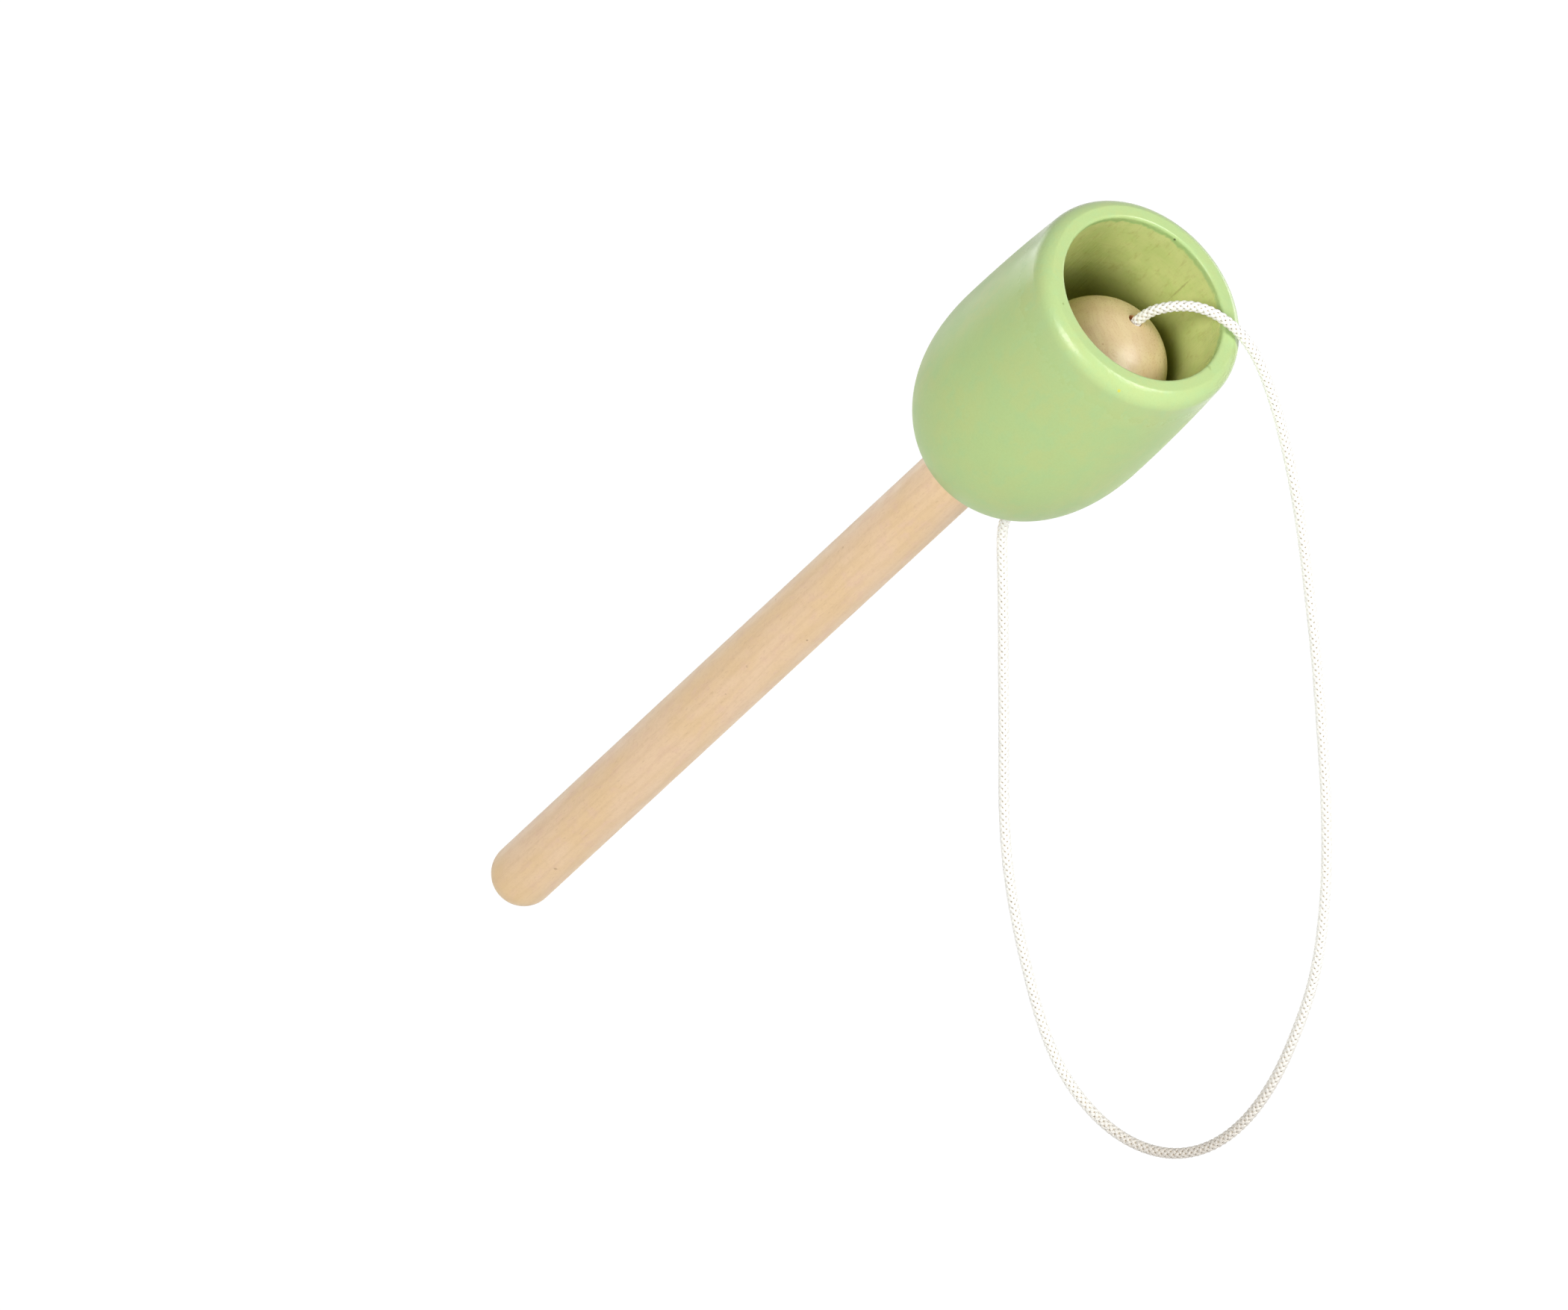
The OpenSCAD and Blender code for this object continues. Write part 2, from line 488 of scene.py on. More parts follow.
    def tint(self, colour: Feed, value: Feed, tint: Tint) -> Socket:
        """A colour with a tint over it, which changes with a value."""
        share = self.rise(value, Ramp(tint.start, tint.end, tint.low, tint.high))
        return self.mix(share, colour, tint.colour)

    def bump(self, height: Feed, depth: float, normal: Optional[Socket] = None) -> Socket:
        """Bends the surface's normal by a height.

        Args:
            height: The height.
            depth: How many metres deep a height of 1 is.
            normal: An already bent normal to go on from.

        Returns:
            The bent normal.
        """
        if normal is None:
            return self.fill("Bump", Distance=depth, Height=height)
        return self.fill("Bump", Distance=depth, Height=height, Normal=normal)

    def end(self, kind: str, shader: Socket) -> Union[Material, bpy.types.World]:
        """Ends the tree with a shader and an output of that kind, and gives back its owner."""
        self.node("Output" + kind, shader)
        return self.owner

    def surface(self, **values: Feed) -> Material:
        """Ends the tree with a Principled surface of these values, and gives back the material."""
        return self.end("Material", self.fill("BsdfPrincipled", **values))


class BenchNodes(FinishNodes):
    """The node tree of a turned piece's finish, which knows each point's place on the bench.

    A mark shows in full as far as full_mark times its radius, and is gone at no_mark times its radius.
    """

    full_mark: float = 0.9
    no_mark: float = 1.7
    mark_edge: Pattern = Pattern(3.0, detail=2.0, rough=0.5)

    def __init__(self, name: str) -> None:
        """Starts the tree of a new material.

        Args:
            name: The material's name.
        """
        super().__init__(bpy.data.materials.new(name))
        self.grains: dict[Pattern, Socket] = {}
        self.place = self.note("bench")
        self.across, self.side, height = self.parts(self.place)
        self.depth = self.times(height, -1.0)
        self.radius = self.distance(self.stretch(self.place, (1, 1, 0)), (0, 0, 0))

    def grain(self, pattern: Pattern) -> Socket:
        """Lays a pattern over the turning, unless it is there already.

        Args:
            pattern: The pattern.

        Returns:
            Its noise, about 0.5.
        """
        if pattern not in self.grains:
            drawn_out = self.stretch(self.place, (pattern.across, pattern.across, pattern.along))
            self.grains[pattern] = self.noise(drawn_out, pattern)
        return self.grains[pattern]

    def mark(self, colour: Feed, marks: Sequence[Mark]) -> Feed:
        """Puts small marks with ragged edges over a colour.

        Args:
            colour: The colour without the marks.
            marks: The marks, in the order in which they go on.

        Returns:
            The colour with the marks.
        """
        for mark in marks:
            centre = tuple(p * s for p, s in zip(mark.place, mark.stretch))
            far = self.distance(self.stretch(self.place, mark.stretch), centre)
            far = self.add(far, self.grain(self.mark_edge), mark.radius)
            fade = Ramp(mark.radius * self.full_mark, mark.radius * self.no_mark, mark.strength, 0.0)
            colour = self.mix(self.rise(far, fade), colour, mark.kind.value)
        return colour


@dataclass(frozen=True)
class GreenLacquer:
    """Pale green satin lacquer on the cup, a thin green wash in its hollow, and bare wood where it's drilled.

    The lacquer laps a little way over the mouth's edge and ends there in a ragged, thicker line. The lapped
    strip is tinted a darker green as painted shade, and the wash carries painted shade deep in the hollow.
    Distances are in millimetres on the cup's bench.
    """

    # Colours
    lacquer: Colour = srgb(184, 209, 141)
    yellow: Tint = Tint(srgb(189, 208, 139), 0.38, 0.66)
    cool: Tint = Tint(srgb(180, 209, 144), 0.44, 0.70, 0.75)
    dust: Tint = Tint(srgb(150, 172, 108), 0.30, 0.75, 0.07)
    # The edge green colours the lapped lacquer's last line, and as painted shade it darkens the lapped strip
    edge: Colour = srgb(142, 182, 104)
    wash: Colour = srgb(213, 222, 148)
    wash_green: Tint = Tint(srgb(204, 218, 140), 0.36, 0.66)
    wash_fibre: Tint = Tint(srgb(150, 146, 70), 0.54, 0.80, 0.24)
    wash_ring: Tint = Tint(srgb(150, 156, 78), 0.52, 0.74, 0.08)
    wash_blotch: Tint = Tint(srgb(168, 158, 84), 0.50, 0.74, 0.30)
    # Painted shade deep in the hollow
    wash_painted_shade: Tint = Tint(srgb(130, 132, 46), 12.5, 28.0, 0.92)
    bare: Colour = srgb(206, 176, 128)
    bare_fibre: Tint = Tint(srgb(172, 138, 92), 0.40, 0.75, 0.5)

    # Patterns
    broad: Pattern = Pattern(0.11)
    patches: Pattern = Pattern(0.42, rough=0.65, along=0.6)
    fine: Pattern = Pattern(2.6, detail=2.0)
    cloud: Pattern = Pattern(0.28)
    fibres: Pattern = Pattern(2.4, detail=4.0, rough=0.65, along=0.10)
    rings: Pattern = Pattern(2.2, rough=0.7, across=0.04)
    blotches: Pattern = Pattern(0.75, detail=4.0, rough=0.7, along=0.5)
    ragged: Pattern = Pattern(0.60, along=0.4)
    peel: Pattern = Pattern(1.1, detail=2.0, rough=0.5)
    flecks: Pattern = Pattern(2.0, rough=0.7)

    # Where the colours lie
    # Which way the wash's painted shade leans across the hollow
    shade_across: float = 0.20
    shade_side: float = 0.30
    lap: float = 1.25
    lap_waver: float = 1.9
    lap_end: Ramp = Ramp(-0.30, 0.45)
    line_back: float = 0.14
    line: Ramp = Ramp(0.05, 0.70, 0.50, 0.0)
    strip: Ramp = Ramp(0.02, 0.40)
    # How far the lapped strip is tinted towards the edge green, as painted shade
    strip_shade_share: float = 0.20
    upper_across: float = -0.95
    upper_side: float = 0.30
    # How strongly the lapped strip and its line show towards the upper side; on the strip this is painted
    # shade
    lap_show_side: Ramp = Ramp(0.0, 15.0, 0.20, 1.0)
    wall_reach: float = 0.004
    behind_floor: float = 1.0
    socket_rim: float = 0.8

    # Roughness, relief and gloss
    satin: Ramp = Ramp(0.3, 0.7, 0.23, 0.29)
    worn: Ramp = Ramp(2.0, 14.0, -0.06, 0.12)
    strip_rough: float = 0.38
    bare_rough: float = 0.8
    rough_side: Ramp = Ramp(-14.0, 2.0, 3.2, 1.0)
    rough_lip: Ramp = Ramp(0.4, 5.5, 1.1, 0.0)
    fine_relief: float = 0.10
    line_relief: float = 0.5
    skin_relief: float = 0.018 * MM
    wood_relief: float = 0.06 * MM
    gloss: Ramp = Ramp(1.0, 6.5, 0.5, 0.2)

    marks: tuple[Mark, ...] = (
        Mark((-8.3, 13.9, -0.6), 0.28, 0.85, MarkKind.PIT),
        Mark((13.81, -14.97, -1.59), 0.36, 0.95, MarkKind.YELLOW_SPECK),
        Mark((-4.16, -17.3, 0.0), 0.26, 0.55, MarkKind.GREEN_SPECK),
        Mark((15.9, 4.95, 0.0), 0.32, 0.40, MarkKind.GREEN_SPECK, (0.4, 1.0, 1.0)),
        Mark((-1.6, 16.12, -8.6), 0.20, 0.34, MarkKind.CRACK, (1.0, 1.0, 0.05)),
    )

    def lacquer_colour(self, nodes: BenchNodes) -> Socket:
        """Mixes the lacquer's colour, with its soft mottle.

        Args:
            nodes: The cup's node tree.

        Returns:
            The colour.
        """
        colour = nodes.tint(self.lacquer, nodes.grain(self.broad), self.yellow)
        colour = nodes.tint(colour, nodes.grain(self.patches), self.cool)
        return nodes.tint(colour, nodes.grain(self.fine), self.dust)

    def wash_colour(self, nodes: BenchNodes) -> Socket:
        """Mixes the wash's colour, darker where it soaked in, and with painted shade deep in the hollow and
        on one side.

        Args:
            nodes: The cup's node tree.

        Returns:
            The colour.
        """
        colour = nodes.tint(self.wash, nodes.grain(self.cloud), self.wash_green)
        colour = nodes.tint(colour, nodes.grain(self.fibres), self.wash_fibre)
        colour = nodes.tint(colour, nodes.grain(self.rings), self.wash_ring)
        colour = nodes.tint(colour, nodes.grain(self.blotches), self.wash_blotch)
        # Painted shade: the wash darkens deeper down in the hollow, most on the side where the ball's shadow
        # falls
        low = nodes.add(nodes.add(nodes.depth, nodes.across, self.shade_across), nodes.side, self.shade_side)
        return nodes.tint(colour, low, self.wash_painted_shade)

    def lapping(self, nodes: BenchNodes, cup: "TurnedCup") -> tuple[Socket, Socket, Socket]:
        """Finds where the lacquer laps into the mouth.

        Args:
            nodes: The cup's node tree.
            cup: The cup, for the sizes of its mouth and hollow.

        Returns:
            How far each point is washed, how far it is on the lapped strip, and how far on its last line.
        """
        in_mouth = nodes.times(
            nodes.below(nodes.radius, cup.mouth_r + cup.mouth_round),
            nodes.below(nodes.depth, cup.hollow_depth + cup.pocket_ease),
        )
        past = nodes.add(nodes.depth, nodes.grain(self.ragged), -self.lap_waver)
        past = nodes.add(past, self.lap_waver / 2 - self.lap)
        # The lapped strip and its last line show most on the upper side of the mouth; on the strip this is
        # painted shade, where the inner wall turns away from the light
        upper = nodes.add(nodes.times(nodes.side, self.upper_side), nodes.across, self.upper_across)
        lapped = nodes.times(in_mouth, nodes.rise(upper, self.lap_show_side))
        from_line = nodes.work_out("ABSOLUTE", nodes.add(past, self.line_back))
        return (
            nodes.times(in_mouth, nodes.rise(past, self.lap_end)),
            nodes.times(lapped, nodes.rise(nodes.depth, self.strip)),
            nodes.times(lapped, nodes.rise(from_line, self.line)),
        )

    def drilled(self, nodes: BenchNodes, cup: "TurnedCup") -> Socket:
        """Finds where the cup is drilled.

        Args:
            nodes: The cup's node tree.
            cup: The cup, for the places and sizes of its holes.

        Returns:
            1 in the cord's hole, the knot's pocket and the handle's socket, and 0 elsewhere.
        """
        on_floor = nodes.join(nodes.across, nodes.side)
        from_hole = nodes.distance(on_floor, (cup.cord_hole_down, cup.cord_hole_side, 0.0))
        behind_floor = nodes.above(nodes.depth, cup.hollow_depth + self.behind_floor)
        in_hole = nodes.times(nodes.below(from_hole, cup.cord_hole_r + self.wall_reach), behind_floor)
        in_pocket = nodes.times(
            nodes.below(from_hole, cup.pocket_r + self.wall_reach),
            nodes.above(nodes.depth, cup.hollow_depth + cup.pocket_ease + self.wall_reach),
            nodes.below(nodes.depth, cup.hollow_depth + cup.pocket_depth + self.wall_reach),
        )
        in_socket = nodes.times(
            nodes.below(nodes.radius, cup.socket_r + self.wall_reach),
            nodes.below(nodes.depth, cup.length - self.socket_rim),
            behind_floor,
        )
        return nodes.most(in_hole, in_pocket, in_socket)

    def roughness(self, nodes: BenchNodes, strip: Socket, drilled: Socket) -> Socket:
        """Works out the roughness.

        Args:
            nodes: The cup's node tree.
            strip: How far each point is on the strip of lapped lacquer.
            drilled: Where the cup is drilled.

        Returns:
            The roughness, which grows from the lip back.
        """
        satin = nodes.rise(nodes.grain(self.patches), self.satin)
        rough = nodes.add(nodes.rise(nodes.depth, self.worn), satin)
        rough = nodes.add(rough, strip, self.strip_rough)
        return nodes.most(rough, nodes.times(drilled, self.bare_rough))

    def relief(self, nodes: BenchNodes, washed: Socket, line: Socket) -> Socket:
        """Bends the normal with the lacquer's peel and with the washed wood's grain.

        Args:
            nodes: The cup's node tree.
            washed: How far each point is washed.
            line: How far it is on the lapped lacquer's last line.

        Returns:
            The bent normal.
        """
        # The lacquer dried rougher along one side of the lip
        by_lip = nodes.times(nodes.rise(nodes.side, self.rough_side), nodes.rise(nodes.depth, self.rough_lip))
        peel = nodes.add(nodes.grain(self.peel), nodes.grain(self.flecks), by_lip)
        skin = nodes.bump(nodes.add(peel, nodes.grain(self.fine), self.fine_relief), self.skin_relief)
        wood = nodes.times(nodes.add(nodes.grain(self.fibres), nodes.grain(self.rings)), washed)
        return nodes.bump(nodes.add(wood, line, self.line_relief), self.wood_relief, skin)

    def material(self, cup: "TurnedCup") -> Material:
        """Makes the cup's material.

        Args:
            cup: The cup, for the places of its hollow, socket and holes.

        Returns:
            The material.
        """
        nodes = BenchNodes("green_lacquer_finish")
        washed, strip, line = self.lapping(nodes, cup)
        drilled = self.drilled(nodes, cup)
        # Painted shade: the lapped strip just inside the mouth's edge is tinted towards the edge green
        colour = nodes.mix(nodes.times(strip, self.strip_shade_share), self.lacquer_colour(nodes), self.edge)
        colour = nodes.mix(washed, colour, self.wash_colour(nodes))
        colour = nodes.mix(line, colour, self.edge)
        colour = nodes.mix(drilled, colour, nodes.tint(self.bare, nodes.grain(self.fibres), self.bare_fibre))
        return nodes.surface(
            Base_Color=nodes.mark(colour, self.marks),
            Roughness=self.roughness(nodes, strip, drilled),
            Normal=self.relief(nodes, washed, line),
            IOR=1.38,
            Specular_IOR_Level=nodes.rise(nodes.depth, self.gloss),
        )


@dataclass(frozen=True)
class DowelWood:
    """Pale satin wood of the handle, with its grain along the dowel."""

    middle: Colour = srgb(238, 206, 169)
    yellow: Tint = Tint(srgb(235, 202, 157), 0.36, 0.64)
    pink: Tint = Tint(srgb(234, 199, 168), 0.48, 0.72, 0.8)
    fibre: Colour = srgb(211, 174, 128)
    band: Tint = Tint(fibre, 0.1, 1.0, 0.16)
    streak: Tint = Tint(fibre, 0.50, 0.80, 0.20)
    blotch: Tint = Tint(fibre, 0.46, 0.72, 0.26)
    fleck: Tint = Tint(srgb(194, 152, 108), 0.66, 0.76, 0.22)
    tip: Tint = Tint(srgb(229, 197, 144), -15.0, -1.0, 0.55)

    cloud: Pattern = Pattern(0.16, along=0.35)
    patches: Pattern = Pattern(0.55, along=0.45)
    waver: Pattern = Pattern(0.30, detail=2.0, rough=0.5, along=0.12)
    fibres: Pattern = Pattern(5.5, detail=4.0, along=0.045)
    mottle: Pattern = Pattern(2.1, detail=4.0, rough=0.7, along=0.6)
    flecks: Pattern = Pattern(3.6, detail=1.0, rough=0.4, along=0.16)

    layer_lean: float = 0.35
    layer_waver: float = 3.4
    layer_rate: float = 3.1
    waxed: Ramp = Ramp(0.3, 0.7, 0.36, 0.48)
    fibre_relief: float = 0.8
    wood_relief: float = 0.035 * MM

    marks: tuple[Mark, ...] = (
        Mark((5.05, -3.24, -120.1), 0.26, 0.80),
        Mark((-2.53, -5.44, -96.5), 0.22, 0.45),
        Mark((4.61, -3.84, -211.2), 0.34, 0.60, stretch=(1.0, 0.5, 1.0)),
        Mark((-4.32, -4.17, -120.8), 0.24, 0.55),
        Mark((1.69, -5.76, -135.1), 0.28, 0.30),
        Mark((2.71, -5.36, -144.3), 0.24, 0.30),
        Mark((-3.1, 5.14, -171.0), 0.26, 0.55),
        Mark((4.4, 4.08, -88.0), 0.24, 0.45),
        Mark((-5.6, 2.15, -204.0), 0.22, 0.50),
    )

    def material(self, handle: "DowelHandle") -> Material:
        """Makes the handle's material.

        Args:
            handle: The handle, for the place of its rounded tip.

        Returns:
            The material.
        """
        nodes = BenchNodes("dowel_wood_finish")
        patches = nodes.grain(self.patches)
        fibres = nodes.grain(self.fibres)
        layer = nodes.add(nodes.across, nodes.side, self.layer_lean)
        layer = nodes.add(layer, nodes.grain(self.waver), self.layer_waver)
        colour = nodes.tint(self.middle, nodes.grain(self.cloud), self.yellow)
        colour = nodes.tint(colour, patches, self.pink)
        colour = nodes.tint(colour, nodes.waves(layer, self.layer_rate), self.band)
        colour = nodes.tint(colour, fibres, self.streak)
        colour = nodes.tint(colour, nodes.grain(self.mottle), self.blotch)
        colour = nodes.tint(colour, nodes.grain(self.flecks), self.fleck)
        from_tip = nodes.add(nodes.depth, handle.tip_at)
        colour = nodes.tint(colour, from_tip, self.tip)
        return nodes.surface(
            Base_Color=nodes.mark(colour, self.marks),
            Roughness=nodes.rise(patches, self.waxed),
            Normal=nodes.bump(nodes.add(patches, fibres, self.fibre_relief), self.wood_relief),
            IOR=1.47,
        )


@dataclass(frozen=True)
class BallWood:
    """Pale bare wood of the ball, with growth rings seen as faint arcs and fine lines left by the turning."""

    light: Colour = srgb(216, 195, 149)
    warm: Tint = Tint(srgb(210, 184, 142), 0.36, 0.66)
    ring: Colour = srgb(205, 176, 132)
    band: Tint = Tint(ring, 0.0, 1.0, 0.30)
    speck: Tint = Tint(ring, 0.5, 0.8, 0.18)
    fibre: Colour = srgb(184, 148, 108)
    streak: Tint = Tint(fibre, 0.48, 0.76, 0.42)
    turned_line: Tint = Tint(fibre, 0.50, 0.80, 0.22)
    inside: Tint = Tint(srgb(222, 160, 104), -0.25, -0.05, 0.0, 1.0)

    cloud: Pattern = Pattern(0.22)
    waver: Pattern = Pattern(0.16, detail=2.0, rough=0.5)
    streaks: Pattern = Pattern(2.4, detail=4.0, rough=0.65)
    lines: Pattern = Pattern(9.0, rough=0.7)
    fine: Pattern = Pattern(3.0)

    growth: Place = (0.55, 0.62, 0.56)
    growth_waver: float = 5.0
    growth_rate: float = 2.6
    turned_about: Place = (-0.279, 0.493, 0.823)
    satin: Ramp = Ramp(0.3, 0.7, 0.26, 0.36)
    streak_relief: float = 0.5
    wood_relief: float = 0.036 * MM

    marks: tuple[Mark, ...] = (
        Mark((-1.06, -8.35, 9.51), 0.22, 0.55),
        Mark((8.1, 6.2, -7.5), 0.24, 0.50),
    )

    def material(self, ball: "DrilledBall") -> Material:
        """Makes the ball's material.

        Args:
            ball: The ball, for its radius.

        Returns:
            The material.
        """
        nodes = BenchNodes("ball_wood_finish")
        layer = nodes.add(nodes.reach(nodes.place, self.growth), nodes.grain(self.waver), self.growth_waver)
        streaks = nodes.noise(nodes.join(layer, nodes.radius), self.streaks)
        lines = nodes.noise(nodes.join(nodes.reach(nodes.place, self.turned_about)), self.lines)
        fine = nodes.grain(self.fine)
        above_skin = nodes.add(nodes.distance(nodes.place, (0, 0, 0)), -ball.radius)
        colour = nodes.tint(self.light, nodes.grain(self.cloud), self.warm)
        colour = nodes.tint(colour, nodes.waves(layer, self.growth_rate), self.band)
        colour = nodes.tint(colour, streaks, self.streak)
        colour = nodes.tint(colour, lines, self.turned_line)
        colour = nodes.tint(colour, fine, self.speck)
        colour = nodes.tint(colour, above_skin, self.inside)
        return nodes.surface(
            Base_Color=nodes.mark(colour, self.marks),
            Roughness=nodes.rise(fine, self.satin),
            Normal=nodes.bump(nodes.add(lines, streaks, self.streak_relief), self.wood_relief),
            IOR=1.55,
        )


@dataclass(frozen=True)
class WhiteCord:
    """White braided yarn with fine filaments. Painted shade darkens it where the strands dip, on the core
    between them and at the loop's middle.
    """

    # Painted shade: the braid darkens from the crown colour to the dip colour where a strand dips under the
    # next, and to the core colour in the gaps between the strands
    dip: Colour = srgb(220, 211, 194)
    crown: Tint = Tint(srgb(248, 247, 241), 0.12, 0.62)
    core: Tint = Tint(srgb(202, 185, 158), 0.0, 0.12, 0.0, 1.0)
    filament: Tint = Tint(dip, 0.50, 0.80, 0.22)
    soiled: Tint = Tint(dip, 0.55, 0.80, 0.20)
    # Painted shade on the loop's middle, where the cord hangs lowest
    loop_painted_shade: Colour = srgb(219, 213, 208)
    loop_shade_from: Ramp = Ramp(108.0, 138.0)
    loop_shade_to: Ramp = Ramp(138.0, 198.0, 1.0, 0.0)
    filaments: Pattern = Pattern(2.6)
    filament_stretch: Place = (3.0, 0.35, 1.0)
    filament_relief: float = 0.02 * MM
    soil: Pattern = Pattern(0.5, detail=2.0)
    satin: Ramp = Ramp(0.3, 0.7, 0.46, 0.60)

    def material(self) -> Material:
        """Makes the cord's material.

        Returns:
            The material.
        """
        nodes = FinishNodes(bpy.data.materials.new("white_cord_finish"))
        lift = nodes.note("lift", "Fac")
        across, run, strand = nodes.parts(nodes.note("yarn"))
        thread = nodes.stretch(nodes.join(across, run, strand), self.filament_stretch)
        filaments = nodes.noise(thread, self.filaments)
        # Painted shade between the strands, read from how high each point stands in the braid
        colour = nodes.tint(self.dip, lift, self.crown)
        colour = nodes.tint(colour, lift, self.core)
        colour = nodes.tint(colour, filaments, self.filament)
        colour = nodes.tint(colour, nodes.noise(nodes.join(run, strand), self.soil), self.soiled)
        # Painted shade on the loop's middle
        loop_shade_share = nodes.times(nodes.rise(run, self.loop_shade_from), nodes.rise(run, self.loop_shade_to))
        return nodes.surface(
            Base_Color=nodes.mix(loop_shade_share, colour, self.loop_painted_shade, Mixing.STAIN),
            Roughness=nodes.rise(filaments, self.satin),
            Normal=nodes.bump(filaments, self.filament_relief),
            Sheen_Weight=0.15,
            Sheen_Roughness=0.4,
            IOR=1.5,
        )


@dataclass
class TurnedCup:
    """The cup: a domed, hollow turning with a socket for the handle and a drilled way for the cord."""

    # The outside
    length: float = 62.0
    widest_r: float = 21.7
    widest_at: float = 31.0
    dome_power: float = 2.3
    lip_r: float = 20.9
    lip_round: float = 3.8
    lip_edge: float = 1.0
    lip_start: float = 6.0
    lip_turn: float = 65.0
    # The hollow
    mouth_r: float = 16.2
    mouth_round: float = 0.6
    hollow_depth: float = 33.2
    hollow_rings: tuple[float, ...] = (4.0, 12.0, 20.0)
    floor_round: float = 4.0
    floor_ring: float = 6.0
    # The handle's socket and the cord's way
    socket_r: float = 5.8
    socket_depth: float = 23.5
    socket_mouth_r: float = 6.1
    socket_ease: float = 0.3
    cord_hole_down: float = 11.0
    cord_hole_side: float = 3.0
    cord_hole_r: float = 1.5
    pocket_r: float = 3.2
    pocket_depth: float = 5.2
    pocket_ease: float = 0.3
    pocket_over: float = 0.05
    drill_past: float = 1.0
    # How finely it is cut
    sides: int = 144
    drill_sides: int = 48
    edge_steps: int = 10
    mouth_steps: int = 8
    round_steps: int = 14
    finish: GreenLacquer = GreenLacquer()

    def dome(self, steps: int = 56) -> Outline:
        """Draws the dome, from the edge of the socket out to the widest place.

        Args:
            steps: How many spans it is cut into.

        Returns:
            The dome's outline.
        """
        start = math.acos((self.socket_mouth_r / self.widest_r) ** (self.dome_power / 2))
        points = []
        for step in range(steps + 1):
            angle = start * (1 - step / steps)
            radius = self.widest_r * math.cos(angle) ** (2 / self.dome_power)
            rise = (self.length - self.widest_at) * math.sin(angle) ** (2 / self.dome_power)
            points.append((radius, -self.widest_at - rise))
        return points

    def lip_depth(self) -> float:
        """How far below the mouth the lip's round begins."""
        rise = math.sin(math.radians(self.lip_turn))
        return self.lip_round * rise + self.lip_edge * (1 - rise)

    def lip(self) -> Outline:
        """Draws the lip: a gentle round off the wall, and then a tighter edge up to the flat face.

        Returns:
            The lip's outline.
        """
        centre = (self.lip_r - self.lip_round, -self.lip_depth())
        gentle = arc(centre, self.lip_round, self.lip_start, self.lip_turn, self.round_steps)
        out = math.cos(math.radians(self.lip_turn))
        edge_centre = (centre[0] + (self.lip_round - self.lip_edge) * out, -self.lip_edge)
        return gentle + arc(edge_centre, self.lip_edge, self.lip_turn, 90, self.edge_steps)[1:]

    def wall(self, steps: int = 20) -> Outline:
        """Draws the wall, which draws in gently from the widest place to the lip.

        Args:
            steps: How many spans it is cut into.

        Returns:
            The wall's outline, without its point at the widest place.
        """
        points = []
        for step in range(1, steps + 1):
            share = step / steps
            radius = self.widest_r - (self.widest_r - self.lip_r) * share * share
            points.append((radius, -self.widest_at + (self.widest_at - self.lip_depth()) * share))
        return points

    def outline(self) -> Outline:
        """Draws the whole cup.

        Returns:
            Its outline, from the middle of the socket's floor to the middle of the hollow's floor.
        """
        socket_floor = self.socket_depth - self.length
        dome = self.dome()
        mouth_centre = (self.mouth_r + self.mouth_round, -self.mouth_round)
        floor_centre = (self.mouth_r - self.floor_round, self.floor_round - self.hollow_depth)
        return [
            (0.0, socket_floor),
            (self.socket_r, socket_floor),
            (self.socket_r, dome[0][1] + self.socket_ease),
            *dome,
            *self.wall(),
            *self.lip(),
            *arc(mouth_centre, self.mouth_round, 90, 180, self.mouth_steps),
            *[(self.mouth_r, -depth) for depth in self.hollow_rings],
            *arc(floor_centre, self.floor_round, 0, -90, self.round_steps),
            (self.floor_ring, -self.hollow_depth),
            (0.0, -self.hollow_depth),
        ]

    def drill(self) -> Piece:
        """Makes the drill for the cord's hole and for the pocket of its knot.

        Returns:
            The form to cut out.
        """
        floor = -self.hollow_depth
        pocket_floor = floor - self.pocket_depth
        pocket_mouth_r = self.pocket_r + self.pocket_ease + self.pocket_over
        outline = [
            (0.0, -self.length - self.drill_past),
            (self.cord_hole_r, -self.length - self.drill_past),
            (self.cord_hole_r, pocket_floor),
            (self.pocket_r, pocket_floor),
            (self.pocket_r, floor - self.pocket_ease),
            (pocket_mouth_r, floor + self.pocket_over),
            (pocket_mouth_r, floor + self.drill_past),
            (0.0, floor + self.drill_past),
        ]
        points, faces = turn(outline, self.drill_sides)
        points += np.array([self.cord_hole_down, self.cord_hole_side, 0.0])
        return make_piece("cord_drill", CUP_BENCH.place(points), faces)

    def build(self) -> Piece:
        """Turns the cup, drills it, and puts its lacquer on.

        Returns:
            The cup, riding on the body that holds the handle.
        """
        points, faces = turn(self.outline(), self.sides)
        cup = make_piece("turned_cup", CUP_BENCH.place(points), faces)
        carve(cup, self.drill())
        finish_shading(cup.data)
        note_bench(cup, CUP_BENCH)
        dress(cup, self.finish.material(self))
        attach(cup, "cup_and_handle")
        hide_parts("cup")
        return cup


